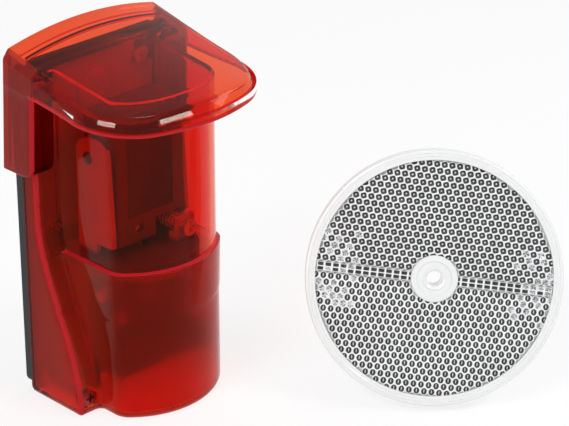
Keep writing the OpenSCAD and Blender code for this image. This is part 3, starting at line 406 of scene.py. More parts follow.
coverTint = (0.84, 0.07, 0.02)
smooth = {"scale": 90.0, "strength": 0.05, "depth": 0.02}
frosted = {"scale": 1600.0, "strength": 0.5, "depth": 0.05}
# a less clear, paler red mixed in near the wall: painted sheen for studio light reflected on these
# faces
paintedSheenSkin = {"tint": (0.50, 0.07, 0.035), "frost": 0.02, "grain": smooth, "clear": 0.82}
clearSkin = {"tint": coverTint, "frost": 0.02, "grain": smooth, "level": 0.6}
finishes = {
    "red_cover": clearShell("polishedRedCover", coverTint, 0.02, smooth, level=0.6),
    "red_frost": clearShell("frostedRedCover", (0.73, 0.055, 0.085), 0.6, frosted, clear=0.9),
    "red_side": clearShell("hazyRedSide", (0.80, 0.07, 0.04), 0.46, frosted, clear=0.8),
    "red_hood": clearShell("polishedRedHood", (0.84, 0.080, 0.018), 0.015, smooth, paleGleam,
        level=0.6),
    # painted sheen near the wall, passing to the clear red towards the front
    "red_shoulder": fadingShell("hazyRedShoulder", paintedSheenSkin, clearSkin, 13, 31),
    "red_hip": fadingShell("hazyRedHip", paintedSheenSkin, clearSkin, 28, 40),
    "red_flap": clearShell("shadedRedFlap", (0.22, 0.03, 0.02), 0.03, smooth, paleGleam),
    # a darker, less clear red on the hood's flanks and legs: painted shade
    "red_deep": clearShell("deepRedFlank", (0.36, 0.022, 0.016), 0.03, smooth, paleGleam,
        clear=0.6),
    # a brighter, less clear red on the rounded edges: painted edge glow
    "red_bead": clearShell("thickRedBead", (0.50, 0.017, 0.027), 0.1, smooth, clear=0.3),
    "base_black": moulded("grainedBlackBase", (0.010, 0.009, 0.010), 0.62, grain=0.05),
    "foam_seal": moulded("foamSeal", (0.03, 0.03, 0.032), 0.9, grain=0.15, scale=700),
    "black_rubber": moulded("softBlackRubber", (0.02, 0.019, 0.02), 0.7, grain=0.04),
    "screw_steel": brushed("zincPlatedSteel", (0.82, 0.82, 0.83), 0.2),
    # the cover screws' red tone is a painted reflection of the red plastic round them
    "cover_screw": brushed("smokedScrew", (0.34, 0.05, 0.055), 0.2),
    "spring_steel": brushed("brightSpringWire", (0.8, 0.8, 0.82), 0.16),
    # the chassis is lighter above 56 mm and darker below it: painted shade on its lower parts
    "chassis_dark": moulded("darkChassis", (0.34, 0.22, 0.15), 0.45, grain=0.03,
        below=(0.16, 0.10, 0.075), level=56.0),
    "board_green": moulded("maskedBoard", (0.02, 0.11, 0.045), 0.3, grain=0.01, coat=0.4),
    "terminal_green": moulded("terminalNylon", (0.02, 0.2, 0.08), 0.45),
    "clamp_brass": brushed("turnedBrass", (0.8, 0.6, 0.28), 0.24),
    "case_black": moulded("blackCase", (0.02, 0.02, 0.022), 0.38),
    "can_blue": moulded("sleevedCan", (0.03, 0.05, 0.22), 0.25, coat=0.5),
    "film_orange": moulded("dippedFilm", (0.22, 0.07, 0.03), 0.3, coat=0.3),
    "nylon_white": moulded("agedNylon", (0.22, 0.2, 0.17), 0.4),
    "lead_grey": moulded("greySleeve", (0.1, 0.1, 0.11), 0.6),
    "trimmer_blue": moulded("blueTrimmer", (0.03, 0.09, 0.42), 0.3),
    "lamp_green": clearLens("greenLamp", (0.15, 0.8, 0.3), 0.1),
    # the yoke's cheeks are lighter above 54 mm; the turntable under them is darker, painted shade
    "yoke_black": moulded("brownYoke", (0.28, 0.17, 0.12), 0.36, below=(0.05, 0.03, 0.025),
        level=54.0),
    "head_black": moulded("darkHead", (0.07, 0.04, 0.032), 0.34),
    "filter_dark": moulded("infraredFilter", (0.012, 0.006, 0.008), 0.1, grain=0.003, coat=0.6),
    "holder_black": moulded("mattHolder", (0.02, 0.02, 0.02), 0.6),
    "lens_clear": clearLens("opticLens", (0.93, 0.95, 0.96)),
    "diode_clear": clearLens("clearDiode", (0.85, 0.87, 0.95)),
    "diode_dark": moulded("darkDiode", (0.015, 0.015, 0.02), 0.15, coat=0.5),
    "lamp_red": clearLens("redLamp", (0.9, 0.1, 0.06), 0.1),
    "reflector_grey": moulded("reflectorBack", (0.62, 0.63, 0.64), 0.4),
}
otherFinish = {"cover_screws_upper": "cover_screw", "cover_screws_lower": "cover_screw",
               "tilt_pins": "case_black", "tilt_washers": "case_black",
               "terminal_screws": "case_black"}
for entry in frame["record"]["subparts"]:
    finish = otherFinish.get(entry["node"], entry["material_slot"])
    if finish in finishes:
        node = frame["nodes"][entry["node"]]
        node.data.materials.clear()
        node.data.materials.append(finishes[finish])
print("finishes made:", len(finishes))


# red cover: a shoulder that sweeps forward, a window in front and a collar round it

cover = {"half": 31.2, "back": 5.1, "top": 117.0, "fall": 7.5, "crown": 1.7, "crownReach": 26.0,
         "waist": 66.0, "hip": 5.0, "shoulder": 11.4, "hipDepth": 29.5, "edge": 1.9, "fillet": 1.3,
         "windowHalf": 22.6, "windowDepth": 49.2, "arc": 29.0, "corner": 7.5, "step": 0.8,
         "proud": 0.5, "collarTop": 52.4, "collarLow": 36.4, "turn": 0.35, "wall": 1.8,
         "topRound": 1.7, "bottomRound": 2.6}
coverLevels = {"drum": [4 + 2.2 * i for i in range(14)], "collar": (38, 40.5, 43, 45.5, 48, 50.5),
               "window": (54.5, 57, 59.5, 62, 64.5, 67, 72)}


def shoulderDepth(z):
    share = min(1, max(0, (cover["waist"] - z) / (cover["waist"] - cover["hip"])))
    reach = cover["hipDepth"] - cover["shoulder"]
    return cover["shoulder"] + reach * share * share * (3 - 2 * share)


def frontArcs(half, depth, r, corner, inset, cornerSteps, frontSteps):
    # from the front end of the left side round to the front end of the right side
    cornerX, reach, arcY = half - corner, r - corner, r - depth
    cornerY = arcY - sqrt(reach * reach - cornerX * cornerX)
    lean = degrees(asin(cornerX / reach))
    left = arc(-cornerX, cornerY, corner - inset, 180, 270 - lean, cornerSteps)
    front = arc(0, arcY, r - inset, 270 - lean, 270 + lean, frontSteps)[1:-1]
    right = arc(cornerX, cornerY, corner - inset, 270 + lean, 360, cornerSteps)
    return left, front, right


def coverOutline(z, inset, swell):
    # swell is how far the window stands out from its half width at this height
    depth, half = shoulderDepth(z) - inset, cover["half"] - inset
    window = cover["windowHalf"] - inset + swell
    edge, fillet = max(0.4, cover["edge"] - inset), cover["fillet"] + inset
    left, front, right = frontArcs(cover["windowHalf"], cover["windowDepth"], cover["arc"],
                                   cover["corner"], inset - swell, 10, 26)
    side = line((-half, -cover["back"]), (-half, -depth + edge), 5, False)
    side += arc(-half + edge, -depth + edge, edge, 180, 270, 6, True)
    side += line((-half + edge, -depth), (-window - fillet, -depth), 4)
    side += arc(-window - fillet, -depth - fillet, fillet, 90, 0, 5, True)
    side += line((-window, -depth - fillet), (-window, min(left[0][1], -depth - fillet)), 5)[:-1]
    return side + left + front + right + mirrored(side)


def coverTop(x, y):
    swing = sin(pi / 2 * min(1, abs(x) / cover["crownReach"]))
    return (cover["top"] + y * tan(radians(cover["fall"]))
            - cover["crown"] * swing * swing)


def coverRing(z, inset, swell, height=None):
    # height, a function of the place in plan, lifts the outline of level z
    return [(x, y, height(x, y) if height else z) for x, y in coverOutline(z, inset, swell)]


def collarEdge(z, inset, before, after, lead, rise):
    # the window's wall passes from one swell to the other, by lead of the way below z
    rings, turn = [], cover["turn"] * (0.6 if inset else 1)
    for k in range(6):
        share = k / 5
        eased = share * share * (3 - 2 * share)
        rings.append(coverRing(z, inset, before + (after - before) * eased,
                               lambda x, y: z + turn * (share - lead) * rise))
    return rings


def drawnIn(ring, share):
    # the ring in plan, drawn in towards the middle of the cover's back
    return [(x * share, -cover["back"] + (y + cover["back"]) * share) for x, y, _ in ring]


def coverRings(inset):
    # from the middle of the underside up the walls to the middle of the top
    low, high = max(0.6, cover["bottomRound"] - inset), max(1.2, cover["topRound"] - inset)
    rings, step, waist = [], -cover["step"], cover["waist"]
    for away, up in roundedEdge(6):
        rings.append(coverRing(inset + low, inset + low * away, 0, lambda x, y: inset + low * up))
    rings += [coverRing(z, inset, 0) for z in coverLevels["drum"]]
    proud = 0.0 if inset else cover["proud"]
    foot = proud * 0.4  # the collar flares from its foot to its top
    rings += collarEdge(cover["collarLow"], inset, 0.0, foot, 1, 5.0)
    for k, z in enumerate(coverLevels["collar"]):
        rings.append(coverRing(z, inset, foot + (proud - foot) * (k + 1) / 6))
    rings += collarEdge(cover["collarTop"] - inset, inset, proud, step, 0, 1.6)
    rings += [coverRing(z, inset, step) for z in coverLevels["window"]]
    last = coverLevels["window"][-1]
    for share in (0.25, 0.5, 0.75, 1.0):
        rings.append(coverRing(waist, inset, step, lambda x, y: (
            last + (coverTop(x, y) - inset - high - last) * share)))
    for down, away in roundedEdge(8, 1):
        rings.append(coverRing(waist, inset + high * away, step, lambda x, y: (
            coverTop(x, y) - inset - high * down)))
    rim = rings[-1]
    for share in (0.9, 0.75, 0.6, 0.45, 0.3, 0.15):
        rings.append([(x, y, coverTop(x, y) - inset) for x, y in drawnIn(rim, share)])
    under = [[(x, y, inset) for x, y in drawnIn(rings[0], share)] for share in (0.2, 0.5, 0.8)]
    return under + rings


coverScrew = {"x": 26.6, "heights": (111.6, 6.0), "postLow": 8.0, "postR": 2.4, "bossR": 3.6,
              "boss": 1.2, "boreR": 1.6, "headR": 2.7, "head": 1.7, "sink": 0.4, "through": 2}
# zones of the cover: the bead zones carry the painted edge glow, fadeTop bounds the painted sheen
coverZones = {"innerSide": 3, "frostTop": 0.3, "sideBead": 1.7, "sideBeadTop": 80, "topBead": 100,
              "bottomBead": 1.8, "fadeTop": 112, "beyond": 1, "wall": 0.9, "outside": 0.2,
              "collarBead": (51.9, 53.3)}
coverFinishes = ["red_cover", "red_frost", "red_bead", "red_side", "red_shoulder", "red_hip"]


def coverFinish(x, y, z, normal, index, outerFaces):
    zone, away, window = coverZones, abs(x), cover["windowHalf"]
    if index >= outerFaces:  # on the inner sheet
        if away > cover["half"] - zone["innerSide"]:
            return "red_side"
        return "red_frost" if z < cover["collarTop"] - zone["frostTop"] else "red_cover"
    # painted edge glow: the beads along the side, top and bottom edges get a brighter, less clear
    # red
    sideEdge = (away > cover["half"] - zone["sideBead"] and z < zone["sideBeadTop"]
                and normal.y < -0.25 and abs(normal.x) > 0.2)
    topEdge = z > zone["topBead"] and 0.6 < normal.z < 0.9
    bottomEdge = z < zone["bottomBead"] and -0.92 < normal.z < -0.3
    if sideEdge or topEdge or bottomEdge:
        return "red_bead"
    # painted sheen: shoulder and window side faces get a hazier red near the wall
    shoulder = away > window + zone["beyond"] and normal.y < -0.5
    windowSide = (away > window - zone["wall"] and -y > shoulderDepth(z) + zone["outside"]
                  and abs(normal.x) > 0.93)
    if z < zone["fadeTop"] and (shoulder or windowSide):
        return "red_shoulder" if z > cover["collarTop"] else "red_hip"
    # the top edge of the collar gets the painted edge glow as well
    low, high = zone["collarBead"]
    onCollar = low < z < high and normal.z > 0.3 and away < window + zone["beyond"]
    return "red_bead" if onCollar else "red_cover"


def makeCover():
    outer, inner = coverRings(0), coverRings(cover["wall"])
    back, wall = -cover["back"], cover["wall"]
    top = coverTop(0, back)
    points, faces, outerFaces = closedShell(outer, inner, [(0, back, top), (0, back, 0)],
                                            [(0, back, top - wall), (0, back, wall)])
    piece = meshPiece("frontCoverShell", points, faces, angle=50)
    finishFaces(piece, coverFinishes, lambda *face: coverFinish(*face, outerFaces))
    posts, bores, screw = [], [], coverScrew
    for side in (-1, 1):
        for z in screw["heights"]:
            depth = shoulderDepth(z)
            seat, beyond = depth - screw["sink"] - screw["head"], depth + screw["through"]
            bossLow = max(screw["postLow"], seat - screw["boss"])
            for r, low, high, group in (
                    (screw["postR"], screw["postLow"], seat, posts),
                    (screw["bossR"], bossLow, depth - screw["sink"], posts),
                    (screw["boreR"], 0, beyond, bores), (screw["headR"], seat, beyond, bores)):
                points, faces = lathe([(0, low), (r, low), (r, high), (0, high)], 40, False)
                points = placed(points, outOfWall(side * screw["x"], z))
                group.append(meshPiece("post", points, faces))
    print("open edges of the cover's shell:", openEdges(piece))
    for tools, operation in ((posts, "UNION"), (bores, "DIFFERENCE")):
        combine(piece, tools, operation, "MANIFOLD")
        print("and after", operation.lower() + ":", openEdges(piece))
    shade(piece, 40)
    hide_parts("front_cover")


makeCover()
print("cover made")


# hood: a crowned roof that falls forward, with a leg down each side

hood = {"rearHalf": 34.5, "frontHalf": 35.7, "depth": 59.6, "arc": 70.0, "corner": 22.0,
        "top": 124.5, "fall": 13.2, "crown": 140.0, "rimRear": 109.0, "rimFront": 104.2,
        "roundRear": 2.6, "roundFront": 3.6, "roof": 2.0, "side": 1.3, "bead": 0.55,
        "chamfer": 42.0, "softShare": 0.5, "draft": 0.053, "legLow": 81.0, "legFront": 13.7,
        "legBack": 11.7, "flapInner": 24.6, "legRound": 1.4, "legCorner": 5.0, "legSoft": 0.6,
        "legTop": 3.2, "footRound": 2.0}


def draft(z):
    # the sides lean in towards the roof
    return 1 - hood["draft"] * (z - hood["legLow"]) / hood["rearHalf"]


def hoodOutline():
    # points of the plan with their inward directions
    left, front, right = frontArcs(hood["frontHalf"], hood["depth"], hood["arc"],
                                   hood["corner"], 0, 14, 34)
    side, steps, end = [], 18, left[0][1]
    for i in range(steps):
        y = end * i / steps
        share = max(0, (y + hood["legFront"]) / (end + hood["legFront"]))
        flare = (hood["frontHalf"] - hood["rearHalf"]) * share * share
        side.append((-hood["rearHalf"] - flare, y))
    points = side + left + front + right + mirrored(side)
    inward = []
    for i in range(len(points)):
        a, b = points[max(i - 1, 0)], points[min(i + 1, len(points) - 1)]
        size = hypot(b[0] - a[0], b[1] - a[1])
        inward.append((-(b[1] - a[1]) / size, (b[0] - a[0]) / size))
    return points, inward


def hoodRoof(x, y):
    return hood["top"] + y * tan(radians(hood["fall"])) - x * x / (2 * hood["crown"])


def hoodRim(y):
    return hood["rimRear"] + y * (hood["rimRear"] - hood["rimFront"]) / hood["depth"]


def hoodRing(edge, height):
    # edge(y) is the way in from the plan and height(x, y) the level of each point
    ring = []
    for (x, y), (nx, ny) in zip(*hoodOutline()):
        away = edge(y)
        px, py = x + nx * away, min(0, y + ny * away) if y < 0 else 0
        z = height(px, py)
        ring.append((px * draft(z), py, z))
    return ring


def edgeRound(y, inset):
    share = min(1, -y / hood["depth"])
    outer = hood["roundRear"] + (hood["roundFront"] - hood["roundRear"]) * share ** 1.5
    return max(0.5, outer - inset)


def edgeStep(k, size):
    # the way in and down for step k of 10 from side to roof: two arcs with a flat between
    lean, r = radians(hood["chamfer"]), size * hood["softShare"]
    flat = (size - r) / sin(lean)
    share = max(0, min(1, (k - 4) / 2))
    a = lean * min(k, 4) / 4 if k <= 6 else lean + (pi / 2 - lean) * (k - 6) / 4
    along = r * (1 - cos(a)) + flat * sin(lean) * share
    rise = r * sin(a) + flat * cos(lean) * share
    return along, r + flat * cos(lean) - rise


def hoodRings(inside):
    rings, bead = [], hood["bead"]
    inset, thick = (hood["side"], hood["roof"]) if inside else (0.0, 0.0)
    for share, up in roundedEdge(5):  # half of the round edge along the rim
        away = bead * share
        rings.append(hoodRing(lambda y: inset - away if inside else away,
                              lambda x, y: hoodRim(y) + bead * up))
    for lift in (0.5, 1.2, 2.0, 2.8):
        rings.append(hoodRing(lambda y: inset, lambda x, y: hoodRim(y) + bead + lift))
    for k in range(11):
        rings.append(hoodRing(
            lambda y: inset + edgeStep(k, edgeRound(y, inset))[0],
            lambda x, y: hoodRoof(x, y) - thick - edgeStep(k, edgeRound(y, inset))[1]))
    rim = rings[-1]
    for share in (0.93, 0.82, 0.7, 0.58, 0.46, 0.34, 0.22, 0.1):
        rings.append([(x * share, y * share, hoodRoof(x * share / draft(z), y * share) - thick)
                      for x, y, z in rim])
    return rings


def legRing(grow):
    # the L of the left leg at one level, grow being how far it is drawn in
    half = hood["rearHalf"] - 0.03 - grow  # just inside the hood's side, for a clean union
    front, back = hood["legFront"] - grow, hood["legBack"] + grow
    r, inner, soft = hood["legRound"], hood["flapInner"] + grow, 0.8
    inside = -hood["rearHalf"] + hood["side"] + 0.15 + grow
    points = line((-half, 0), (-half, -front + r), 8, False)
    points += arc(-half + r, -front + r, r, 180, 270, 6, True)
    points += line((-half + r, -front), (-inner - 1, -front), 6)
    points += arc(-inner - 1, -(front + back) / 2, (front - back) / 2, 270, 450, 8, True)
    points += line((-inner - 1, -back), (inside + soft, -back), 5)
    points += arc(inside + soft, -back + soft, soft, 270, 180, 4, True)
    return points + line((inside, -back + soft), (inside, 0), 6)


def legFoot(x, y):
    # the foot rises in a quarter circle to the front, and a little at the flap's free end
    r, end = hood["legCorner"], hood["footRound"]
    ahead = min(r, max(0, -y - hood["legFront"] + r))
    reach = min(end, max(0, hood["flapInner"] + end - abs(x)))
    return (hood["legLow"] + 0.55 * (r - sqrt(max(0, r * r - ahead * ahead)))
            + end - sqrt(max(0, end * end - reach * reach)))


def makeLeg(side):
    rings, soft, top = [], hood["legSoft"], hood["legTop"]
    for away, up in roundedEdge(4):
        rings.append([(x, y, legFoot(x, y) + soft * up) for x, y in legRing(soft * away)])
    for part in (0.2, 0.4, 0.6, 0.8, 1.0):
        rings.append([
            (x, y, legFoot(x, y) + soft + (hoodRim(y) + top - legFoot(x, y) - soft) * part)
            for x, y in legRing(0)])
    rings.append([(x, y, hoodRim(y) + top + 1.2) for x, y in legRing(0.35)])
    points = [(x * draft(z) * -side, y, z) for ring in rings for x, y, z in ring]
    faces = column(len(rings), len(rings[0]))
    return meshPiece("hoodLeg", points, faces if side < 0 else flipped(faces))


def backLip(side):
    # the lip down the back of a leg, up into the roof
    low, sink, thick, steps = hood["legLow"] + 0.7, 0.4, 1.3, 12
    wide, least = 1.4, 30.15  # how far the lip stands in, and its least half width
    top = hoodRoof(hood["rearHalf"] * 0.9, 0) - hood["roundRear"] - 0.3
    points = []
    for i in range(steps + 1):
        z = low + (top - low) * i / steps
        outer = (hood["rearHalf"] - sink) * draft(z)
        inner = max(least, (hood["rearHalf"] - hood["side"]) * draft(z) - wide)
        corners = ((outer, 0), (outer, thick), (inner, thick), (inner, 0))
        points += [(side * x, -d, z) for x, d in corners]
    faces = column(steps + 1, 4)
    return meshPiece("backLip", points, faces if side < 0 else flipped(faces))


def roofRib(depth):
    # a shallow rib across the underside of the roof
    points, steps, half = [], 24, 28.0
    for i in range(steps + 1):
        x = half * (2 * i / steps - 1)
        top = hoodRoof(x / 0.94, -depth) - hood["roof"]
        points += [(x, -d, z) for d, z in ((depth - 0.6, top + 0.5), (depth + 0.6, top + 0.5),
                                           (depth + 0.35, top - 0.8), (depth - 0.35, top - 0.8))]
    return meshPiece("roofRib", points, column(steps + 1, 4, True))


# zones of the hood: rim and leg edges carry the painted edge glow, the flank zone the painted
# shade
hoodZones = {"rim": 1.1, "front": 0.2, "legEdge": 1.2, "legRim": 1.0,
             "flank": 29.5, "flankTop": 116, "flapFrom": 11, "flapHalf": 33}
hoodFinishes = ["red_hood", "red_bead", "red_deep", "red_flap"]


def hoodFinish(x, y, z, normal, _):
    zone, away, depth, legFront = hoodZones, abs(x), -y, hood["legFront"]
    # painted edge glow on the rim and the leg edges, a brighter, less clear red
    onRim = depth > legFront + zone["front"] and z < hoodRim(y) + zone["rim"]
    onLeg = (away > (hood["rearHalf"] - hood["side"]) * draft(z)
             and depth > legFront - zone["legEdge"] and z < hoodRim(y) + zone["legRim"])
    if onRim or onLeg:
        return "red_bead"
    # painted shade: a darker red on the flanks and legs, darkest on the flap
    if depth < legFront and (away > zone["flank"] or z < zone["flankTop"]):
        onFlap = (abs(normal.y) > 0.5 and depth > zone["flapFrom"] and away < zone["flapHalf"]
                  and z < hoodRim(y))
        return "red_flap" if onFlap else "red_deep"
    return "red_hood"


def makeHood():
    top = hoodRoof(0, 0)
    points, faces, _ = closedShell(hoodRings(False), hoodRings(True), [(0, 0, top)],
                                   [(0, 0, top - hood["roof"])])
    piece = meshPiece("rainHood", points, faces, angle=50)
    combine(piece, [makeLeg(-1), makeLeg(1), backLip(-1), backLip(1), roofRib(3.0), roofRib(6.0)],
            "UNION")
    shade(piece, 40)
    piece.data.materials.clear()
    finishFaces(piece, hoodFinishes, hoodFinish)
    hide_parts("hood")
    return piece


print("hood made, open edges:", openEdges(makeHood()))


# spring, leads, caps, seals and grommet

spring = {"from": 24.775, "to": 33.025, "wire": 0.55, "r": 2.725, "curls": 6, "x": 11.2,
          "z": 57.8, "keep": 0.45}


def makeSpring():
    steps = spring["curls"] * 28
    route, r, length = [], spring["r"], spring["to"] - spring["from"]
    for i in range(steps + 1):
        a = 2 * pi * spring["curls"] * i / steps
        route.append(Vector((spring["x"] + r * cos(a), -spring["from"] - length * i / steps,
                             spring["z"] + r * sin(a))))
    points, faces = tube(route, spring["wire"] / 2, 10)
    piece = finishedPiece("tiltSpringWire", points, faces, "spring_steel", "pan", "tilt_spring")
    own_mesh(piece)


# the points of a route are (distance from the wall, height)
leads = {
    "signal_lead": {"name": "boardLead", "body": "base", "r": 0.86,
        "route": [(28, 37.9), (28, 39.6), (28, 41.6), (27.6, 43.4), (26.8, 44.9), (25.9, 46.2),
                  (25.2, 47.6), (25, 49)]},
    "head_lead": {"name": "headLead", "body": "pan", "r": 0.86,
        "route": [(25, 49.4), (24.9, 51), (24.2, 52.5), (22.8, 53.4), (20.8, 53.7), (17, 53.7),
                  (13.2, 54.1), (10.2, 55.6), (8.2, 58), (7.4, 61.4), (7.2, 66), (7.2, 72),
                  (7.2, 78), (8, 82.4), (10, 85.2), (12.4, 86), (14.6, 86)]}}


def makeLeads():
    for node, lead in leads.items():
        route = smoothRoute([(0, -d, z) for d, z in lead["route"]], 5)
        points, faces = tube(route, lead["r"], 14)
        finishedPiece(lead["name"], points, faces, "lead_grey", lead["body"], node)


wallCap = {"pitch": 83.3, "plug": 5.3, "flange": 6.6, "front": 4.8, "thick": 0.9, "sunk": 1.2,
           "dish": 3.0, "dishDepth": 0.25}


def makeWallCap():
    # snaps into the chassis over the upper wall screw
    low, high = (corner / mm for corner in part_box("base_plate"))
    height = (low.z + high.z) / 2 + wallCap["pitch"] / 2
    r, f, d, dish = wallCap["flange"], wallCap["front"], wallCap["thick"], wallCap["dish"]
    sunk, floor = f - wallCap["sunk"], f + d - wallCap["dishDepth"]
    points, faces = lathe([(0, sunk), (wallCap["plug"], sunk), (wallCap["plug"], f), (r, f),
                           (r, f + d - 0.35), (r - 0.1, f + d - 0.1), (r - 0.35, f + d),
                           (dish + 0.2, f + d), (dish, floor), (0, floor)], 48, False)
    finishedPiece("wallScrewCap", placed(points, outOfWall(0, height)), faces, "chassis_dark")


pivotCap = {"x": 16.3, "y": -21.0, "z": 86.0, "r": 2.2, "thick": 0.5, "dish": 1.3, "soft": 0.15,
            "dishDepth": 0.3}


def makePivotCaps():
    # pressed over the ends of the tilt pins
    r, t, dish, soft = pivotCap["r"], pivotCap["thick"], pivotCap["dish"], pivotCap["soft"]
    floor = t - pivotCap["dishDepth"]
    for side, name in ((-1, "pivotCapLeft"), (1, "pivotCapRight")):
        points, faces = lathe([(0, 0), (r, 0), (r, t - soft), (r - soft, t), (dish + soft, t),
                               (dish, floor), (0, floor)], 32, False)
        stand = (Matrix.Translation((side * pivotCap["x"], pivotCap["y"], pivotCap["z"]))
                 @ Matrix.Rotation(side * pi / 2, 4, "Y"))
        finishedPiece(name, placed(points, stand), faces, "case_black", "pan")


# loops as (half width, bottom, top, corner radius)
gasket = {"outer": (31.1, 0.1, 116.1, 3), "inner": (29.4, 1.85, 114.5, 2.2), "back": 4.5,
          "front": 5.1, "soft": 0.25}
foam = {"outer": (27.3, 4.3, 112.2, 3), "inner": (24.9, 6.7, 109.8, 3), "back": 0.0,
        "front": 0.8, "soft": 0.3}
grommet = {"height": 30, "profile": [(3, 0), (4.3, 0), (4.45, 0.2), (4.45, 2.2), (5.8, 2.2),
                                     (6, 2.4), (6, 3.2), (5.8, 3.4), (3.3, 3.4), (3, 3.1)]}


def roundedLoop(half, low, high, r):
    left, right, bottom, top = r - half, half - r, low + r, high - r
    return (arc(right, top, r, 0, 90, 6) + arc(left, top, r, 90, 180, 6)
            + arc(left, bottom, r, 180, 270, 6) + arc(right, bottom, r, 270, 360, 6))


def loopBand(outer, inner, back, front, soft):
    # a flat band between two loops, its front edges rounded by soft
    def ring(share, depth):
        return [(a[0] + (b[0] - a[0]) * share, -depth, a[1] + (b[1] - a[1]) * share)
                for a, b in zip(roundedLoop(*outer), roundedLoop(*inner))]
    bend = front - soft * 0.3
    rows = [ring(0, back), ring(0, front - soft), ring(0.1, bend), ring(0.25, front),
            ring(0.75, front), ring(0.9, bend), ring(1, front - soft), ring(1, back)]
    count, faces = len(rows[0]), []
    for i in range(len(rows)):
        k = (i + 1) % len(rows)
        for j in range(count):
            n = (j + 1) % count
            faces.append((i * count + j, k * count + j, k * count + n, i * count + n))
    return [p for row in rows for p in row], faces


def makeSeals():
    points, faces = loopBand(**gasket)
    finishedPiece("coverGasketStrip", points, faces, "black_rubber", node="cover_gasket")
    points, faces = loopBand(**foam)
    points = [(x, -foam["front"] - y, z) for x, y, z in points]  # rounded towards the wall
    finishedPiece("wallFoamCord", points, flipped(faces), "foam_seal", node="wall_seal")
    points, faces = lathe(grommet["profile"], 48)
    finishedPiece("cableGrommetRing", placed(points, outOfWall(0, grommet["height"])), faces,
                  "black_rubber", node="cable_grommet")


makeSpring()
makeLeads()
makeWallCap()
makePivotCaps()
makeSeals()
print("small soft pieces made")


# reflector: a clear rim and boss round a field of prism cells

reflector = {"foot": (65.5, -95), "turn": 44.5, "tilt": 18.0, "r": 42.0, "thick": 8.5,
             "rim": 3.3, "boss": 7.7, "hole": 2.5, "drop": 0.6, "pitch": 2.48, "lean": -6.7,
             "cellDepth": 0.8, "parting": 0.75, "halfRow": 1.46}


def reflectorMatrix():
    # it leans back and rests on the lower edge of its rim
    tilt = radians(reflector["tilt"])
    high = reflector["r"] * cos(tilt) + reflector["thick"] / 2 * sin(tilt)
    turned = (Matrix.Rotation(radians(-reflector["turn"]), 4, "Z")
              @ Matrix.Rotation(pi / 2 - tilt, 4, "X"))
    return Matrix.Translation((*reflector["foot"], high)) @ turned


def rimFinish():
    paint, colour = Paint("clearAcrylicRim"), (0.82, 0.83, 0.83)
    cloud = paint.noise(35, 3)
    return paint.finish({
        "Base Color": paint.mixed(cloud, toned(colour, 0.93), colour),
        "Roughness": 0.16 + 0.08 * cloud, "Coat Weight": 0.6, "Coat Roughness": 0.04,
        "Normal": paint.relief(paint.noise(400), 0.15, 0.02)})


def prismFinish():
    paint = Paint("prismCells")
    # painted reflection: the cells' tone stands for what the prisms send back, dark rings round
    # light middles
    tone = paint.add("Attribute", {"attribute_name": "cellTone"}, output="Fac")
    stops = [(0.0, (0.012, 0.012, 0.013)), (0.5, (0.12, 0.12, 0.124)), (1.0, (0.84, 0.85, 0.86))]
    grain = paint.noise(900)
    return paint.finish({
        "Base Color": paint.add("ValToRGB", {"stops": stops}, {"Fac": tone}),
        "Roughness": 0.3 + 0.2 * grain, "Coat Weight": 0.5, "Coat Roughness": 0.05,
        "Normal": paint.relief(grain, 0.2, 0.02)})


def makeReflector():
    stand = reflectorMatrix()
    r, half, rim = reflector["r"], reflector["thick"] / 2, reflector["r"] - reflector["rim"]
    face, boss, hole = half - reflector["drop"], reflector["boss"], reflector["hole"]
    under = face - reflector["cellDepth"] - 0.15

    def run(start, steps):
        return [(start + out, half - down) for out, down in steps]
    # from the hole round the back, the grooved rim, the hollow for the cells and the boss
    profile = [(hole, -half), (boss, -half), (boss, -half + 2), (r - 1.7, -half + 2),
               (r - 1.7, -half), (r - 0.4, -half), (r, -half + 0.4)]
    profile += run(r, ((0, 0.7), (-0.2, 0.25), (-0.7, 0), (-1.0, 0), (-1.15, 0.15), (-1.3, 0),
                       (-2.0, 0), (-2.2, 0.15), (-2.4, 0)))
    profile += run(rim, ((0.4, 0), (0.1, 0.1)))
    profile += [(rim, face), (rim, under), (boss, under), (boss, face + 0.25)]
    profile += run(boss, ((-0.35, 0.05), (-0.9, 0), (-1.9, 0), (-2.1, 0.35)))
    profile += run(hole, ((1.3, 0.35), (1.1, 0.1), (0.35, 0.35), (0, 0.7)))
    points, faces = lathe(profile, 144)
    points = placed(points, stand)
    body = meshPiece("reflectorRimAndBoss", points, faces, angle=30)
    body.data.materials.append(rimFinish())
    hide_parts("reflector_lens")
    makeCells(stand, rim - 0.03, boss + 0.03, face - 0.02)


# rings of a cell: share of its half pitch, tone and depth; the tones are painted reflection, a
# dark ring round the middle and light walls
cellRings = {"upper": [(0.0, 0.98, 0.9), (0.17, 0.9, 0.85), (0.3, 0.04, 0.8), (0.74, 0.02, 0.2),
                       (0.84, 0.97, 0.0), (1.0, 1.0, 0.0)],
             "lower": [(0.0, 0.98, 0.9), (0.2, 0.92, 0.85), (0.34, 0.05, 0.8), (0.74, 0.03, 0.2),
                       (0.84, 0.97, 0.0), (1.0, 1.0, 0.0)],
             "middle": [(0.0, 0.1, 0.9), (0.17, 0.08, 0.85), (0.3, 0.03, 0.8), (0.66, 0.03, 0.2),
                        (0.8, 0.97, 0.0), (1.0, 1.0, 0.0)]}
cellForm = {"spokes": 24, "seed": 7, "jitter": (-0.06, 0.04), "squareTurn": 0.3,
            "squareSize": 0.95, "oval": (0.92, 1.06), "slit": (0.55, 2.0), "lightPatchFrom": 25,
            "lightPatchHalf": 13}


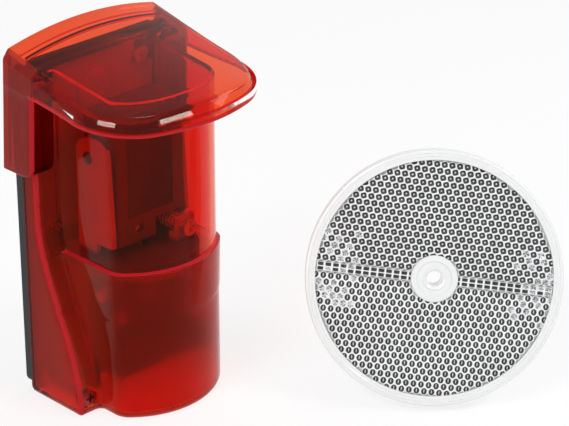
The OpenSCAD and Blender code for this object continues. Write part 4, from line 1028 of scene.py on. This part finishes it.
def cellCentres(outer, inner):
    # the upper and lower rows part for a double row of half height
    pitch, row = reflector["pitch"], reflector["pitch"] * sqrt(3) / 2
    reach = int(outer / row) + 2
    for j in range(-reach, reach + 1):
        for i in range(-reach, reach + 1):
            u = (i + (0.5 if j % 2 else 0)) * pitch
            if j:
                spots = [(j * row + copysign(reflector["parting"], j),
                          "upper" if j > 0 else "lower")]
            else:
                spots = [(side * reflector["halfRow"] / 2, "middle") for side in (-1, 1)]
            for v, kind in spots:
                if inner - 0.2 * pitch < hypot(u, v) < outer + 0.1 * pitch:
                    yield u, v, kind


def squircle(c, s):
    return (c ** 4 + s ** 4) ** 0.25


def cellPoint(kind, ring, share, a):
    # a point of a ring about its cell's middle, at the angle a
    size, c, s = reflector["pitch"] / 2 * share, cos(a), sin(a)
    if kind == "middle":  # a flat rectangle
        bend = 1 / max(abs(c), abs(s)) if ring > 3 else 1 / squircle(c, s)
        return size * bend * c, reflector["halfRow"] / 2 * share * bend * s
    if ring > 4:  # a hexagon with a corner upwards
        reach = size / cos((a + pi / 6) % (pi / 3) - pi / 6)
        return reach * c, reach * s
    if kind == "upper":  # a square with round corners, turned a little
        turned = a - cellForm["squareTurn"]
        bend = cellForm["squareSize"] / squircle(cos(turned), sin(turned))
        return size * bend * c, size * bend * s
    wide, high = cellForm["oval" if ring > 2 else "slit"]  # an oval with a painted slit of light
    return size * wide * c, size * high * s


def inPaintedLightPatch(u, v):
    # painted light patches at both ends of the double row
    return (abs(u) > cellForm["lightPatchFrom"] and abs(v) < cellForm["lightPatchHalf"]
            and sin(u * 0.8) * sin(v * 0.9 + 2 * abs(u)) > 0.1)


def makeCells(stand, outer, inner, face):
    points, faces, tones, spokes = [], [], [], cellForm["spokes"]
    lean = radians(reflector["lean"])
    turn, turnBack = cos(lean), sin(lean)
    random.seed(cellForm["seed"])
    for u, v, kind in cellCentres(outer, inner):
        start, held = len(points), set()  # held are the points drawn to the rim or the boss
        jitter, inLightPatch = random.uniform(*cellForm["jitter"]), inPaintedLightPatch(u, v)
        for ring, (share, tone, deep) in enumerate(cellRings[kind]):
            for k in range(spokes if ring else 1):
                px, py = cellPoint(kind, ring, share, 2 * pi * k / spokes)
                px, py = px + u, py + v
                away = hypot(px, py)
                kept = min(outer, max(inner, away))
                if kept != away:
                    held.add(len(points))
                    px, py = px * kept / away, py * kept / away
                points.append((px * turn - py * turnBack, px * turnBack + py * turn,
                               face - deep * reflector["cellDepth"]))
                # painted light patches: these cells get tones drawn at random, mostly light
                if inLightPatch and ring < 5:
                    tone = random.choice((0.95, 0.9, 0.25 if ring < 4 else 0.9))
                tones.append(max(0, min(1, tone + jitter)))
        rows = [[start] * spokes]
        rows += [range(k, k + spokes) for k in range(start + 1, len(points), spokes)]
        for low, high in zip(rows, rows[1:]):
            for k in range(spokes):
                n = (k + 1) % spokes
                quad = [low[k], high[k], high[n]] + ([low[n]] if low[n] != low[k] else [])
                if not all(corner in held for corner in quad):
                    faces.append(tuple(quad))
    points = placed(points, stand)
    piece = meshPiece("prismCellField", points, faces, angle=80)
    # each point keeps its painted reflection tone
    layer = piece.data.color_attributes.new("cellTone", "FLOAT_COLOR", "POINT")
    for point, tone in zip(layer.data, tones):
        point.color = (tone, tone, tone, 1)
    piece.data.materials.append(prismFinish())
    print("cell points:", len(points))


makeReflector()
print("reflector made")


# stage, lamps and camera

studio = {"floorHalf": 6000.0, "floorLevel": -0.05, "floorTone": 0.95, "floorGlow": 0.78,
          "ambient": 0.4, "seenRoom": 0.95, "lens": 149.6, "sensor": 36.0,
          "eye": (-0.45316, -0.55251, 0.38613), "back": (-0.63580, -0.64581, 0.42272),
          "right": (0.71261, -0.70156, 0.0)}
caseSpot, edgeSpot = (0.0, -0.03, 0.06), (-0.02, -0.052, 0.109)  # the case, the hood's edge
# the way to each lamp, its size and power, the direction of a strip, what it faces, how far off
lamps = {
    "rightBox": ((0.77, -0.31, 0.535), (0.5, 0.22), 1.8, None, caseSpot, 1.2),
    "leftBox": ((-0.93, -0.16, 0.33), (0.8, 0.8), 4.0, None, caseSpot, 1.4),
    "leftStrip": ((-0.67, -0.13, 0.72), (0.35, 0.07), 3.0, (0.13, -0.33, 0.05), edgeSpot, 0.95),
    "middleStrip": ((0.28, 0.10, 0.95), (0.45, 0.04), 1.0, (-0.04, -0.53, 0.07), edgeSpot, 0.95),
    "rightStrip": ((0.32, -0.685, 0.65), (0.34, 0.07), 3.0, (0.33, 0.07, -0.09), edgeSpot, 0.95)}


def seenRay(paint):
    # 1 for what the camera sees, straight on or in glass and gloss
    camera, glossy, through = (
        Wire(paint, socket) for socket in paint.add("LightPath").socket.node.outputs
        if socket.name in ("Is Camera Ray", "Is Glossy Ray", "Is Transmission Ray"))
    return camera.either(glossy).either(through)


def makeStage():
    s, z, tone = studio["floorHalf"], studio["floorLevel"], studio["floorTone"]
    corners = [(-s, -s, z), (s, -s, z), (s, s, z), (-s, s, z)]
    floor = plainMesh("paleFloor", corners, [(0, 1, 2, 3)])
    white = (1, 1, 1)
    paint = Paint("palePaper")
    body = paint.add("BsdfDiffuse", {}, {"Color": (tone, tone, tone)})
    glow = paint.add("Emission", {}, {"Color": white, "Strength": 1.0})
    floor.data.materials.append(
        paint.close(paint.blended(seenRay(paint) * studio["floorGlow"], body, glow)))
    world = bpy.data.worlds.new("paleRoom")
    bpy.context.scene.world = world
    air = Paint("paleRoom", world)
    room = air.add("Background", {}, {"Color": white, "Strength": studio["ambient"]})
    seen = air.add("Background", {}, {"Color": white, "Strength": studio["seenRoom"]})
    air.add("OutputWorld", {}, {"Surface": air.blended(seenRay(air), room, seen)})


def makeLamp(name, way, size, power, along, aim, reach):
    data = bpy.data.lights.new(name, "AREA")
    data.shape, data.size, data.size_y, data.energy = "RECTANGLE", *size, power
    box, way = linked(name, data), Vector(way).normalized()
    along = Vector(along or Vector((0, 0, 1)).cross(way))
    along = (along - way * along.dot(way)).normalized()
    box.matrix_world = Matrix((along, way.cross(along), way)).transposed().to_4x4()
    box.location = Vector(aim) + way * reach


def makeCamera():
    data = bpy.data.cameras.new("view")
    data.lens, data.sensor_width = studio["lens"], studio["sensor"]
    data.sensor_fit = "HORIZONTAL"
    data.clip_start, data.clip_end = 0.05, 50
    eye = linked("view", data)
    back, right = Vector(studio["back"]).normalized(), Vector(studio["right"]).normalized()
    turned = Matrix((right, back.cross(right), back)).transposed().to_4x4()
    eye.matrix_world = Matrix.Translation(studio["eye"]) @ turned
    bpy.context.scene.camera = eye


makeStage()
for name, manner in lamps.items():
    makeLamp(name, *manner)
makeCamera()
bpy.context.scene.view_settings.view_transform = "Standard"
print("stage, lamps and camera set")
